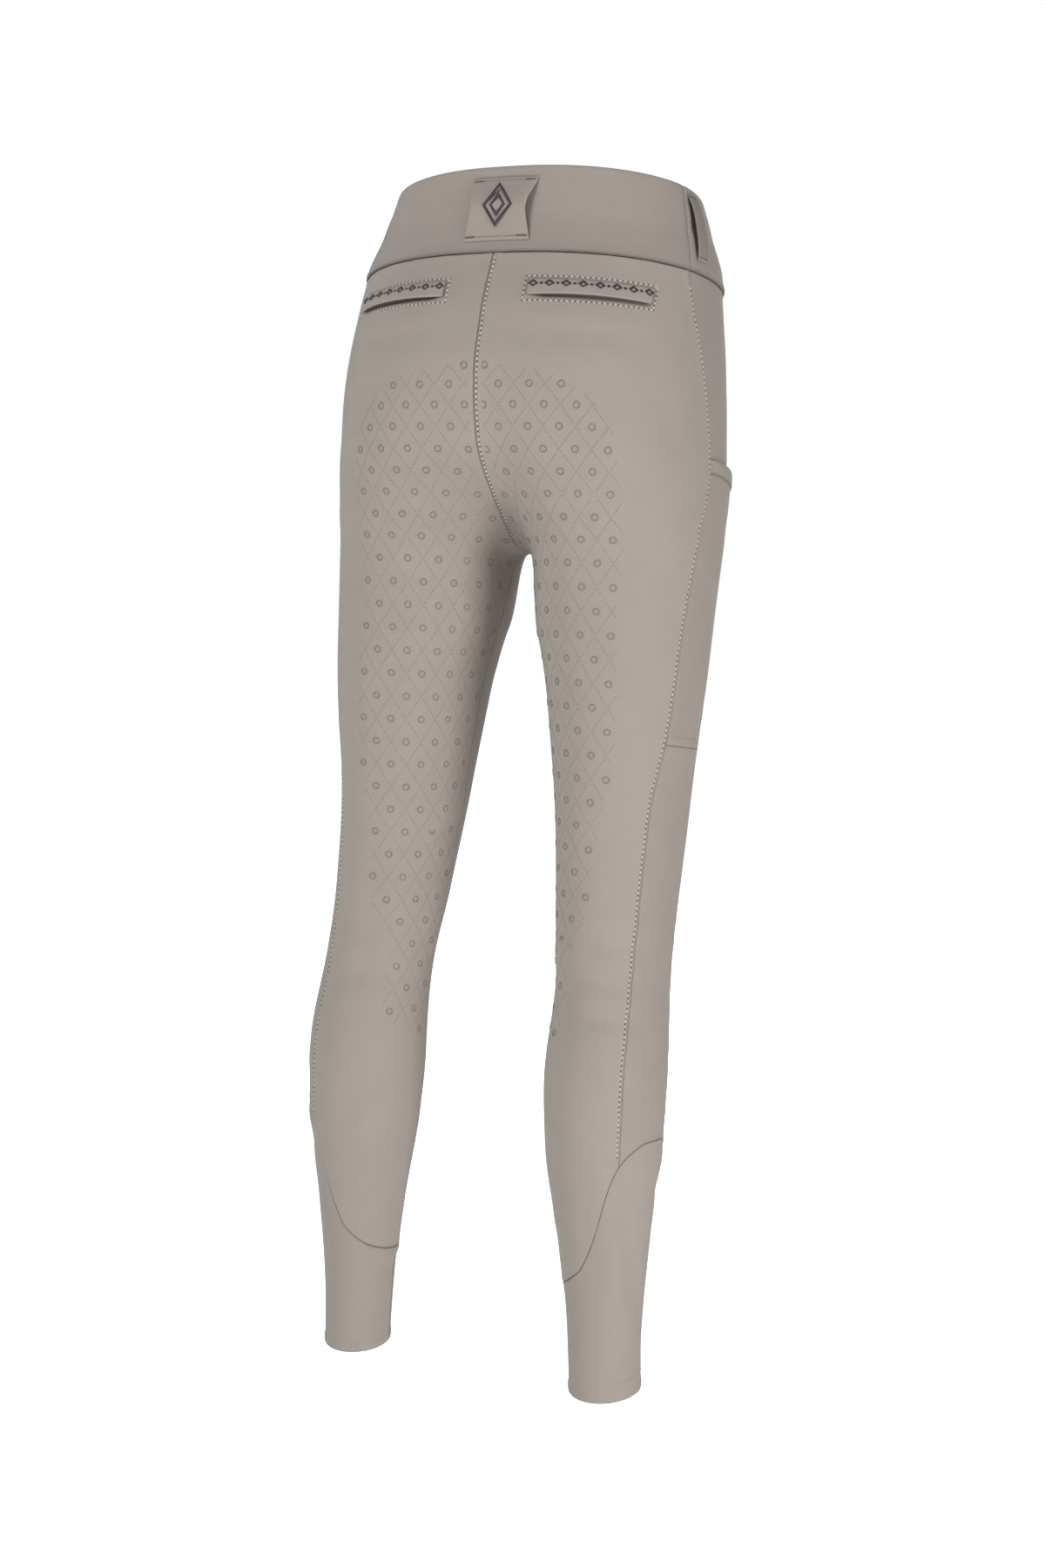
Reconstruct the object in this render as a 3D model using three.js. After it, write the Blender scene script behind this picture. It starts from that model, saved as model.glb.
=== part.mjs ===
// Riding breeches, worn form with no wearer. Millimetres, +Z up, front towards -Y, the wearer's left at +X.
// The origin is the middle of the waist opening, level with the back of the rim. Heights are given as a drop
// below that level, and places round the body or a leg as an angle: 0 on the outer side, negative towards the
// back, positive towards the front, and 180 on the inner side of the leg.
import * as THREE from 'three';

// Driving dimensions
const CLOTH = 1.6;
const CUFF_CLOTH = 1.3;
const BAND_INSIDE = 1.8;
const SEAM_GAP = 0.3;
const LAID_ON_GAP = 0.35;
const RIM_SIDE_DROP = 8;
const RIM_TILT = 8;
const BAND_SEAM_SIDE_DROP = 78;
const BAND_SEAM_TILT = 10.5;
const BAND_SIDE_SEAM_TOP_ANGLE = -15;
const BAND_SIDE_SEAM_FOOT_ANGLE = -23;
const KNEE_END_DROP = 680;
const HEM_DROP = 940;
const HEM_TURN_UP = 7;
const HEM_STEP = 1.5;
const POCKET_FOOT_DROP = 426;
const POCKET_CLOTH = 1.1;
const POCKET_HEM_CLOTH = 1.9;
const POCKET_HEM_HEIGHT = 11;
const POCKET_HEM_STEP = 1.5;
const POCKET_BOW_SHARE = 0.17;
const POCKET_BOW = 2.2;
const WELT_FROM_CENTRE = 33;
const WELT_LENGTH = 95;
const WELT_CLOTH = 1.4;
const WELT_BOW = 1.6;
const TAB_WIDTH = 53;
const TAB_CLOTH = 1.6;
const TAB_BOW = 3.4;
const LOOP_WIDTH = 10.5;
const LOOP_TOP_FROM_SEAM = 3;
const LOOP_FOOT_FROM_SEAM = 8;
const LOOP_CLOTH = 1.5;
const LOOP_BOW = 2.6;
const CUFF_SUNK = 0.7;
const CUFF_HEM_PROUD = 0.2;

// Half sections of the worn form. Each row is one level: the middle of the leg (cx, cy), its reach outwards,
// inwards, to the front and to the back, the roundness exponent, the width of the web that joins the two
// halves at the front and back of the centre line, and how far the leg turns out, in degrees.
const SECTION_COLUMNS = [
  'drop', 'cx', 'cy', 'outer', 'inner', 'front', 'back', 'round', 'webFront', 'webBack', 'turn'];
const SECTIONS = [
  [-20, 0, 6, 115, 115, 88, 84, 2.15, 20, 20, 0],
  [0, 0, 4, 120, 120, 88, 86, 2.15, 20, 20, 0],
  [35, 0, 4, 131, 131, 92, 93, 2.15, 22, 22, 0],
  [70, 4, 8, 139, 141, 98, 104, 2.15, 26, 23, 0],
  [115, 14, 13, 135, 137, 104, 117, 2.12, 34, 24, 0],
  [160, 30, 15, 123, 126, 106, 123, 2.1, 44, 25, 0],
  [205, 50, 14, 105, 100, 102, 120, 2.08, 50, 22, 0],
  [245, 66, 13, 91, 76, 96, 106, 2.06, 44, 16, 0],
  [262, 71, 15, 86, 66, 94, 99, 2.05, 38, 14, 0],
  [275, 74, 16, 83, 63, 91, 92, 2.04, 30, 13, 0],
  [288, 77, 18, 79.5, 62.5, 89, 86, 2.04, 14, 13, 0],
  [320, 81, 22, 74, 64, 86, 79, 2.03, 12, 12, 0],
  [400, 90, 28, 61, 58, 76, 72, 2, 12, 12, 0],
  [480, 93, 31, 52, 50, 66, 64, 2, 12, 12, 3],
  [560, 96, 43, 47, 45, 55, 54, 2, 12, 12, 6],
  [615, 101, 55, 43.5, 44, 49, 48, 2, 12, 12, 8],
  [690, 105, 67, 45, 49, 46, 54, 2, 12, 12, 10],
  [740, 105, 67, 44, 46, 43, 52, 2, 12, 12, 10],
  [820, 107, 63, 34.5, 35.5, 38, 42, 2, 12, 12, 10],
  [890, 109, 59, 28, 29.5, 34, 36, 2, 12, 12, 10],
  [960, 111, 55, 25.5, 27, 34, 36, 2, 12, 12, 10],
];

// Where the two long seams of the side panel run: their angle at each level
const SIDE_SEAM_COLUMNS = ['drop', 'back', 'front'];
const SIDE_SEAMS = [
  [60, -23, 26],
  [105, -19, 29],
  [150, -14, 32],
  [215, -10.5, 34],
  [275, -21, 32],
  [340, -28, 26],
  [425, -33.5, 15],
  [485, -40, 14],
  [560, -41, 19],
  [640, -43.5, 23],
  [760, -43.5, 24],
];

// Upper edge of the stretch cuff, an S-shaped seam: high on the outer side and low behind and inside
const CUFF_EDGE_COLUMNS = ['angle', 'drop'];
const CUFF_EDGE = [
  [-180, 856],
  [-150, 853],
  [-120, 847],
  [-105, 841],
  [-90, 833],
  [-77, 818],
  [-66, 798],
  [-55, 768],
  [-45, 748],
  [-33, 737],
  [-15, 730],
  [10, 731],
  [30, 739],
  [48, 757],
  [66, 795],
  [90, 830],
  [120, 846],
  [180, 856],
];

// The largest folds, soft ridges in both faces of the wall. Side is 1 left, -1 right and 0 both. Each has its
// middle (angle, drop), the tilt of its line from level, half its length, half its width and its height.
const FOLD_COLUMNS = ['side', 'angle', 'drop', 'tilt', 'reach', 'spread', 'height'];
const FOLDS = [
  [-1, -62, 566, 3, 30, 10, 1.3],
  [-1, -66, 597, -2, 34, 11, 1.2],
  [-1, -62, 622, 4, 30, 10, 1.3],
  [-1, -64, 648, 0, 30, 10, 1],
  [1, -95, 560, -4, 34, 11, 1.2],
  [1, -92, 604, 3, 32, 11, 1.1],
  [1, -98, 640, 0, 30, 10, 1],
  [1, -160, 494, 20, 26, 12, 1.8],
  [-1, -120, 590, -14, 24, 10, 1.8],
  [0, -58, 119, 2, 46, 8, 1],
  [0, -140, 330, -38, 40, 11, 1.4],
  [0, 140, 326, 34, 40, 11, 1.4],
  [0, 82, 268, 24, 44, 10, 1.5],
  [0, 100, 580, 4, 30, 11, 1.1],
];

// Lengthwise rows of every leg panel: shares of the way from the waistband to the crotch, then drops below
// the crotch, then shares of the way from the end of the knee to the cuff seam
const WELT_TOP_SHARE = 0.1;
const WELT_FOOT_SHARE = 0.155;
const POCKET_OPENING_SHARE = 0.634;
const SEAT_SHARES = [0, 0.04, WELT_TOP_SHARE, WELT_FOOT_SHARE, 0.23, 0.33, 0.44, 0.54, POCKET_OPENING_SHARE,
  0.73, 0.81, 0.88, 0.94, 0.975, 0.992, 1];
const THIGH_STEPS = [2, 6, 13, 24, 40, 62, 95];
const KNEE_DROPS = [470, 515, 546, 557, 568, 579, 590, 601, 612, 623, 634, 645, 658, KNEE_END_DROP];
const CALF_SHARES = [0.2, 0.4, 0.6, 0.8, 1];
const CUFF_SHARES = [0, 0.12, 0.28, 0.45, 0.62, 0.8, 1];

// Columns of the panels, as shares of the way across, closer together where the form bends most
const BACK_COLUMNS = evenShares(12).map((share) => 1 - (1 - share ** 1.3) ** 1.4);
const SIDE_COLUMNS = evenShares(4);
const FRONT_COLUMNS = evenShares(7).map((share) => 1 - (1 - share) ** 1.3);

// Outer surface of the waistband from rim to seam: a soft top edge, a flat field and a rolled lower edge.
// Each row is a share of the way down and how far the surface stands out there.
const BAND_RELIEF = [
  [0, 0.3],
  [0.04, 0.8],
  [0.14, 1],
  [0.4, 1],
  [0.66, 1],
  [0.86, 1],
  [0.94, 1.7],
  [0.985, 1.5],
  [1, 0.7],
];
const BAND_FIELD_PROUD = 1;

// Where the pieces on the waistband start and end, as shares of its depth
const TAB_SHARES = { top: 0.14, foot: 0.875 };
const LOOP_SHARES = { top: 0.1, foot: 0.87 };

// Cloth colours
const GREIGE = 0xa09790;
const GREIGE_DARK = 0x8f867e;

function evenShares(count) {
  return Array.from({ length: count + 1 }, (unused, index) => index / count);
}

const radians = THREE.MathUtils.degToRad;

// A smooth curve through the rows of a table that never overshoots them
function smoothCurve(rows, columns, fromName, toName) {
  const x = rows.map((row) => row[columns.indexOf(fromName)]);
  const y = rows.map((row) => row[columns.indexOf(toName)]);
  const slope = x.slice(1).map((value, i) => (y[i + 1] - y[i]) / (value - x[i]));
  const tangent = x.map((value, i) => {
    if (i === 0) return slope[0];
    if (i === x.length - 1) return slope[i - 1];
    if (slope[i - 1] * slope[i] <= 0) return 0;
    const before = x[i] - x[i - 1];
    const after = x[i + 1] - x[i];
    const weightBefore = 2 * after + before;
    const weightAfter = after + 2 * before;
    return (weightBefore + weightAfter) / (weightBefore / slope[i - 1] + weightAfter / slope[i]);
  });
  return (at) => {
    const clamped = THREE.MathUtils.clamp(at, x[0], x[x.length - 1]);
    const i = Math.min(x.findLastIndex((value) => value <= clamped), x.length - 2);
    const width = x[i + 1] - x[i];
    const t = (clamped - x[i]) / width;
    return y[i] * (1 + 2 * t) * (1 - t) ** 2 + tangent[i] * width * t * (1 - t) ** 2
      + y[i + 1] * t * t * (3 - 2 * t) + tangent[i + 1] * width * t * t * (t - 1);
  };
}

const sectionCurves = Object.fromEntries(SECTION_COLUMNS.slice(1).map(
  (name) => [name, smoothCurve(SECTIONS, SECTION_COLUMNS, 'drop', name)]));
const sideSeamBack = smoothCurve(SIDE_SEAMS, SIDE_SEAM_COLUMNS, 'drop', 'back');
const sideSeamFront = smoothCurve(SIDE_SEAMS, SIDE_SEAM_COLUMNS, 'drop', 'front');
const cuffEdge = smoothCurve(CUFF_EDGE, CUFF_EDGE_COLUMNS, 'angle', 'drop');

function sectionAt(drop) {
  return Object.fromEntries(Object.entries(sectionCurves).map(([name, curve]) => [name, curve(drop)]));
}

// The web's width, blended from front to back of the section
function webAt(section, backness) {
  const frontShare = THREE.MathUtils.smoothstep(-backness, -1, 1);
  return section.webBack + (section.webFront - section.webBack) * frontShare;
}

// Distance from the centre plane as the section sees it: bridged so that the two halves join in a soft web
function bridged(x, web) {
  return Math.sqrt(x * x + web * web * Math.exp(-(x * x) / (1.5 * web) ** 2));
}

function unbridged(distance, web) {
  const spread = (1.5 * web) ** 2;
  let square = Math.max(distance ** 2 - web ** 2, 0);
  for (let step = 0; step < 40; step += 1) {
    const fade = Math.exp(-square / spread);
    const error = square + web * web * fade - distance ** 2;
    square = Math.max(square - error / (1 - (web * web / spread) * fade), 0);
  }
  return Math.sqrt(square);
}

function sectionCorner(section, angle) {
  const turn = radians(angle);
  const power = 2 / section.round;
  const outward = Math.cos(turn);
  const backness = -Math.sign(angle) * Math.abs(Math.sin(turn)) ** power;
  const distance = section.cx
    + (outward > 0 ? section.outer : section.inner) * Math.sign(outward) * Math.abs(outward) ** power;
  const y = section.cy + (backness > 0 ? section.back : section.front) * backness;
  return { distance, y, web: webAt(section, backness) };
}

function bisect(low, high, isLow) {
  let [from, to] = [low, high];
  for (let step = 0; step < 45; step += 1) {
    const middle = (from + to) / 2;
    if (isLow(middle)) from = middle;
    else to = middle;
  }
  return (from + to) / 2;
}

const CROTCH_DROP = bisect(275, 330, (drop) => {
  const section = sectionAt(drop);
  return section.cx - section.inner < webAt(section, 0);
});

// Angle of the centre seam above the crotch, and of the inner leg seam below it. Facing is -1 back, 1 front.
function centreAngle(drop, facing) {
  if (drop >= CROTCH_DROP - 1e-6) return 180 * facing;
  const section = sectionAt(drop);
  return facing * bisect(0, 180, (angle) => {
    const corner = sectionCorner(section, angle * facing);
    return corner.distance > corner.web;
  });
}

function formValue(x, y, drop) {
  const section = sectionAt(drop);
  const sideways = y - section.cy;
  const reach = sideways > 0 ? section.back : section.front;
  const web = webAt(section, THREE.MathUtils.clamp(sideways / reach, -1, 1));
  const across = bridged(x, web) - section.cx;
  const width = across > 0 ? section.outer : section.inner;
  return Math.abs(across / width) ** section.round + Math.abs(sideways / reach) ** section.round;
}

// Height of the folds at a place on the form
function foldHeight(side, angle, drop, section) {
  const perDegree = radians((section.outer + section.inner + section.front + section.back) / 4);
  return FOLDS.reduce((sum, row) => {
    const fold = Object.fromEntries(FOLD_COLUMNS.map((name, i) => [name, row[i]]));
    if (fold.side !== 0 && fold.side !== side) return sum;
    const across = (angle - fold.angle) * perDegree;
    const down = drop - fold.drop;
    const tilt = radians(fold.tilt);
    const along = (across * Math.cos(tilt) + down * Math.sin(tilt)) / fold.reach;
    const beside = (down * Math.cos(tilt) - across * Math.sin(tilt)) / fold.spread;
    return sum + fold.height * Math.exp(-(along ** 4) - beside ** 2);
  }, 0);
}

// A point of the outer face of the cloth with its outward normal. Side is 1 left, -1 right.
function formPoint(side, angle, drop) {
  const section = sectionAt(drop);
  const corner = sectionCorner(section, angle);
  const x = unbridged(corner.distance, corner.web);
  const step = 0.1;
  const slope = (dx, dy, dd) => formValue(x + dx, corner.y + dy, drop + dd)
    - formValue(x - dx, corner.y - dy, drop - dd);
  const normal = new THREE.Vector3(slope(step, 0, 0), slope(0, step, 0), -slope(0, 0, step)).normalize();
  const position = new THREE.Vector3(x - section.cx, corner.y - section.cy, 0);
  const up = new THREE.Vector3(0, 0, 1);
  position.applyAxisAngle(up, radians(section.turn)).add(new THREE.Vector3(section.cx, section.cy, -drop));
  normal.applyAxisAngle(up, radians(section.turn));
  position.addScaledVector(normal, foldHeight(side, angle, drop, section));
  position.x *= side;
  normal.x *= side;
  return { position, normal };
}

function backness(angle) {
  return -Math.sign(angle) * Math.abs(Math.sin(radians(angle)));
}

const rimDrop = (angle) => RIM_SIDE_DROP - RIM_TILT * backness(angle);
const bandSeamDrop = (angle) => BAND_SEAM_SIDE_DROP - BAND_SEAM_TILT * backness(angle);
const between = (from, to, share) => from + (to - from) * share;

const SEAT_ROWS = SEAT_SHARES.map((share) => (angle) => between(bandSeamDrop(angle), CROTCH_DROP, share));
const THIGH_DROPS = [...THIGH_STEPS.map((step) => CROTCH_DROP + step), POCKET_FOOT_DROP];
const THIGH_ROWS = THIGH_DROPS.map((drop) => () => drop);
const KNEE_ROWS = KNEE_DROPS.map((drop) => () => drop);
const CALF_ROWS = CALF_SHARES.map((share) => (angle) => between(KNEE_END_DROP, cuffEdge(angle), share));
const LEG_ROWS = [...SEAT_ROWS, ...THIGH_ROWS, ...KNEE_ROWS, ...CALF_ROWS];
const POCKET_OPENING_ROW = SEAT_SHARES.indexOf(POCKET_OPENING_SHARE);
const POCKET_FOOT_ROW = SEAT_ROWS.length + THIGH_ROWS.length - 1;
const UPPER_ROWS = LEG_ROWS.slice(0, POCKET_FOOT_ROW + 1);
const LOWER_ROWS = LEG_ROWS.slice(POCKET_FOOT_ROW);
const CUFF_FOOT_DROP = HEM_DROP - HEM_TURN_UP - HEM_STEP;
const CUFF_ROWS = [
  ...CUFF_SHARES.map((share) => (angle) => between(cuffEdge(angle), CUFF_FOOT_DROP, share)),
  () => HEM_DROP - HEM_TURN_UP,
  () => HEM_DROP,
];

// Grid of form points between two edges, each an angle for every drop. Rows are drops for every angle.
function panelGrid(side, rows, columns, fromEdge, toEdge) {
  return rows.map((row) => columns.map((share) => {
    let angle = between(fromEdge(200), toEdge(200), share);
    for (let step = 0; step < 25; step += 1) {
      const drop = row(angle);
      angle = between(fromEdge(drop), toEdge(drop), share);
    }
    return formPoint(side, angle, row(angle));
  }));
}

// Draws the four edges of a grid in by half a seam gap, square to the edge
function insetGrid(grid, { top = true, foot = true, first = true, last = true } = {}) {
  const half = SEAM_GAP / 2;
  const lastRow = grid.length - 1;
  const lastColumn = grid[0].length - 1;
  const at = (row, column) => grid[row]?.[column]?.position;
  const shift = (row, column, inwardRow, inwardColumn, alongRow, alongColumn) => {
    const inward = at(row + inwardRow, column + inwardColumn).clone().sub(at(row, column));
    const next = at(row + alongRow, column + alongColumn) ?? at(row, column);
    const previous = at(row - alongRow, column - alongColumn) ?? at(row, column);
    const along = next.clone().sub(previous).normalize();
    const square = inward.clone().addScaledVector(along, -inward.dot(along)).length();
    return inward.multiplyScalar(Math.min(half / square, 0.5));
  };
  return grid.map((line, row) => line.map((point, column) => {
    const position = point.position.clone();
    if (top && row === 0) position.add(shift(row, column, 1, 0, 0, 1));
    if (foot && row === lastRow) position.add(shift(row, column, -1, 0, 0, 1));
    if (first && column === 0) position.add(shift(row, column, 0, 1, 1, 0));
    if (last && column === lastColumn) position.add(shift(row, column, 0, -1, 1, 0));
    return { position, normal: point.normal };
  }));
}

// Keeps a panel on its own side of the centre plane
function clearOfCentre(grid, side) {
  const half = SEAM_GAP / 2;
  return grid.map((line) => line.map(({ position, normal }) => {
    const moved = position.clone();
    moved.x = side * Math.max(side * moved.x, half);
    return { position: moved, normal };
  }));
}

// A closed wall between two offsets of a grid. Each offset is a number or a function of row and column.
function wallGeometry(grid, inside, outside) {
  const rowCount = grid.length;
  const columnCount = grid[0].length;
  const layer = (offset) => grid.flatMap((line, row) => line.map(({ position, normal }, column) => (
    position.clone().addScaledVector(normal, typeof offset === 'function' ? offset(row, column) : offset))));
  const points = [...layer(outside), ...layer(inside)];
  const innerStart = rowCount * columnCount;
  const outer = (row, column) => row * columnCount + column;
  const inner = (row, column) => innerStart + outer(row, column);
  const faces = [];
  const quad = (a, b, c, d) => faces.push(a, b, c, a, c, d);
  for (let row = 0; row < rowCount - 1; row += 1) {
    for (let column = 0; column < columnCount - 1; column += 1) {
      quad(outer(row, column), outer(row + 1, column), outer(row + 1, column + 1), outer(row, column + 1));
      quad(inner(row, column), inner(row, column + 1), inner(row + 1, column + 1), inner(row + 1, column));
    }
  }
  const last = columnCount - 1;
  const foot = rowCount - 1;
  for (let row = 0; row < foot; row += 1) {
    quad(outer(row, 0), inner(row, 0), inner(row + 1, 0), outer(row + 1, 0));
    quad(outer(row, last), outer(row + 1, last), inner(row + 1, last), inner(row, last));
  }
  for (let column = 0; column < last; column += 1) {
    quad(outer(0, column), outer(0, column + 1), inner(0, column + 1), inner(0, column));
    quad(outer(foot, column), inner(foot, column), inner(foot, column + 1), outer(foot, column + 1));
  }
  return closedGeometry(points, faces);
}

// A geometry from points and faces, turned so that its faces point out
function closedGeometry(points, faces) {
  let volume = 0;
  for (let i = 0; i < faces.length; i += 3) {
    const [a, b, c] = [points[faces[i]], points[faces[i + 1]], points[faces[i + 2]]];
    volume += a.dot(b.clone().cross(c));
  }
  if (volume < 0) faces.reverse();
  const geometry = new THREE.BufferGeometry();
  geometry.setAttribute('position', new THREE.Float32BufferAttribute(points.flatMap((p) => p.toArray()), 3));
  geometry.setIndex(faces);
  geometry.computeVertexNormals();
  return geometry;
}

// A patch of a grid at fractional rows and columns of it, so that it follows the facets under it
function patchGrid(grid, rows, columnsAt) {
  const lookUp = (row, column) => {
    const r = Math.min(Math.floor(row), grid.length - 2);
    const c = Math.min(Math.floor(column), grid[0].length - 2);
    const [down, across] = [row - r, column - c];
    const corner = down > across ? grid[r + 1][c] : grid[r][c + 1];
    const far = Math.min(down, across);
    const near = 1 - Math.max(down, across);
    const mix = (key) => grid[r][c][key].clone().multiplyScalar(near)
      .addScaledVector(corner[key], 1 - near - far).addScaledVector(grid[r + 1][c + 1][key], far);
    return { position: mix('position'), normal: mix('normal').normalize() };
  };
  return rows.map((row) => columnsAt(row).map((column) => lookUp(row, column)));
}

// A piece that lies on a grid just clear of it, bowed out by a function of the shares along and across it
function laidWall({ grid, rows, columnsAt, proud = 0, bow, thickness }) {
  const patch = patchGrid(grid, rows, columnsAt);
  const lift = (row, column) => {
    const along = (rows[row] - rows[0]) / (rows[rows.length - 1] - rows[0]);
    const across = column / (patch[row].length - 1);
    return proud + LAID_ON_GAP + bow(along, across);
  };
  return wallGeometry(patch, lift, (row, column) => lift(row, column) + thickness(row));
}

// Fractional index at which a value is reached along a rising or falling list
function placeIn(values, target) {
  const sign = Math.sign(values[values.length - 1] - values[0]);
  const next = values.findIndex((value) => sign * value >= sign * target);
  const i = THREE.MathUtils.clamp(next, 1, values.length - 1);
  return i - 1 + (target - values[i - 1]) / (values[i] - values[i - 1]);
}

// Places from one index to another with the grid lines between them
function placesBetween(from, to) {
  const margin = 0.05;
  const lines = [];
  for (let line = Math.ceil(from + margin); line < to - margin; line += 1) lines.push(line);
  return [from, ...lines, to];
}

// Distance of each point of a grid line from its first point
function distancesAlong(line) {
  const distances = [0];
  for (let i = 1; i < line.length; i += 1) {
    distances.push(distances[i - 1] + line[i].position.distanceTo(line[i - 1].position));
  }
  return distances;
}

function clothMaterial(color) {
  return new THREE.MeshStandardMaterial({ color, roughness: 0.85, metalness: 0 });
}

const group = new THREE.Group();

function addPiece(name, geometry, color = GREIGE) {
  const mesh = new THREE.Mesh(geometry, clothMaterial(color));
  mesh.name = name;
  group.add(mesh);
}

// Waistband halves. Each runs from side seam to side seam through the centre of the back or the front.
const bandSideSeam = (drop) => THREE.MathUtils.mapLinear(drop, RIM_SIDE_DROP, BAND_SEAM_SIDE_DROP,
  BAND_SIDE_SEAM_TOP_ANGLE, BAND_SIDE_SEAM_FOOT_ANGLE);
const bandRows = BAND_RELIEF.map(([share]) => (angle) => between(rimDrop(angle), bandSeamDrop(angle), share));
const bandShares = BAND_RELIEF.map(([share]) => share);
const bandOutward = (row) => BAND_RELIEF[row][1];

function bandGrid(halfGrid) {
  const left = halfGrid(1);
  const right = halfGrid(-1);
  return left.map((line, row) => [...line, ...right[row].slice(0, -1).reverse()]);
}

const bandBackGrid = bandGrid((side) => panelGrid(side, bandRows, BACK_COLUMNS, bandSideSeam,
  (drop) => centreAngle(drop, -1)));

const bandFrontGrid = bandGrid((side) => {
  const overSide = panelGrid(side, bandRows, SIDE_COLUMNS, bandSideSeam, sideSeamFront);
  const overFront = panelGrid(side, bandRows, FRONT_COLUMNS, sideSeamFront, (drop) => centreAngle(drop, 1));
  return overSide.map((line, row) => [...line, ...overFront[row].slice(1)]);
});

function addWaistband() {
  const trim = { top: false };
  addPiece('waistband_back', wallGeometry(insetGrid(bandBackGrid, trim), -BAND_INSIDE, bandOutward));
  addPiece('waistband_front', wallGeometry(insetGrid(bandFrontGrid, trim), -BAND_INSIDE, bandOutward));
}

// Evenly spaced places down the waistband between two shares of its depth
function bandPlaces({ top, foot }, steps) {
  return evenShares(steps).map((share) => placeIn(bandShares, between(top, foot, share)));
}

// The wide tab at the centre back, sewn down at its top and foot and open at both sides
function addBackTab() {
  const columnsAt = (row) => {
    const across = bandBackGrid[Math.round(row)].map((point) => point.position.x);
    return placesBetween(placeIn(across, TAB_WIDTH / 2), placeIn(across, -TAB_WIDTH / 2));
  };
  addPiece('back_tab', laidWall({
    grid: bandBackGrid,
    rows: bandPlaces(TAB_SHARES, 8),
    columnsAt,
    proud: BAND_FIELD_PROUD,
    bow: (along) => TAB_BOW * Math.sin(Math.PI * along) ** 1.5,
    thickness: () => TAB_CLOTH,
  }));
}

// Side belt loops, narrow tapes just in front of the waistband's side seams
function addBeltLoop(side, name) {
  const columnsAt = (row) => {
    const line = bandFrontGrid[Math.round(row)];
    const fromSeam = distancesAlong(side > 0 ? line : [...line].reverse());
    const share = THREE.MathUtils.mapLinear(row, 0, bandShares.length - 1, 0, 1);
    const rear = between(LOOP_TOP_FROM_SEAM, LOOP_FOOT_FROM_SEAM, share);
    const ends = [placeIn(fromSeam, rear), placeIn(fromSeam, rear + LOOP_WIDTH)];
    return side > 0 ? ends : ends.map((place) => line.length - 1 - place).reverse();
  };
  addPiece(name, laidWall({
    grid: bandFrontGrid,
    rows: bandPlaces(LOOP_SHARES, 7),
    columnsAt,
    proud: BAND_FIELD_PROUD,
    bow: (along) => LOOP_BOW * Math.max(Math.sin(Math.PI * along), 0) ** 0.8,
    thickness: () => LOOP_CLOTH,
  }), GREIGE_DARK);
}

// Welt strip of a back pocket, its lower edge standing off the cloth in the middle
function addWelt(backGrid, name) {
  const topRow = SEAT_SHARES.indexOf(WELT_TOP_SHARE);
  const distances = distancesAlong(backGrid[topRow]);
  const inner = distances[distances.length - 1] - WELT_FROM_CENTRE;
  const columns = placesBetween(placeIn(distances, inner - WELT_LENGTH), placeIn(distances, inner));
  addPiece(name, laidWall({
    grid: backGrid,
    rows: [topRow, SEAT_SHARES.indexOf(WELT_FOOT_SHARE)],
    columnsAt: () => columns,
    bow: (along, across) => WELT_BOW * along * Math.sin(Math.PI * across),
    thickness: () => WELT_CLOTH,
  }), GREIGE_DARK);
}

// Thigh pocket laid on the upper side panel, its hem thicker and standing a little open
function addPocket(sideGrid, name) {
  const [opening, below] = sideGrid.slice(POCKET_OPENING_ROW).map((line) => line[0].position);
  const rowHeight = opening.distanceTo(below);
  const hemFoot = POCKET_OPENING_ROW + POCKET_HEM_HEIGHT / rowHeight;
  const hemStep = hemFoot + POCKET_HEM_STEP / rowHeight;
  const rows = [POCKET_OPENING_ROW, hemFoot, hemStep];
  for (let row = POCKET_OPENING_ROW + 1; row <= POCKET_FOOT_ROW; row += 1) rows.push(row);
  const hemRows = rows.indexOf(hemStep);
  const openness = (along) => Math.exp(-((along / POCKET_BOW_SHARE) ** 2));
  addPiece(name, laidWall({
    grid: sideGrid,
    rows,
    columnsAt: () => sideGrid[0].map((unused, column) => column),
    bow: (along, across) => POCKET_BOW * openness(along) * Math.sin(Math.PI * across),
    thickness: (row) => (row < hemRows ? POCKET_HEM_CLOTH : POCKET_CLOTH),
  }));
}

// Stretch cuff, seamed at the inner leg, a little inside the leg's surface and doubled at its hem
function addCuff(side, name) {
  const innerLeg = (facing) => () => 180 * facing;
  const overFront = panelGrid(side, CUFF_ROWS, FRONT_COLUMNS, sideSeamFront, innerLeg(1));
  const overSide = panelGrid(side, CUFF_ROWS, SIDE_COLUMNS, sideSeamBack, sideSeamFront);
  const overBack = panelGrid(side, CUFF_ROWS, BACK_COLUMNS, sideSeamBack, innerLeg(-1));
  const grid = overSide.map((line, row) => [
    ...overBack[row].slice(1).reverse(), ...line, ...overFront[row].slice(1)]);
  const outward = (row) => (row < CUFF_SHARES.length ? -CUFF_SUNK : CUFF_HEM_PROUD);
  addPiece(name, wallGeometry(insetGrid(grid, { foot: false }), -CUFF_SUNK - CUFF_CLOTH, outward));
}

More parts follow.
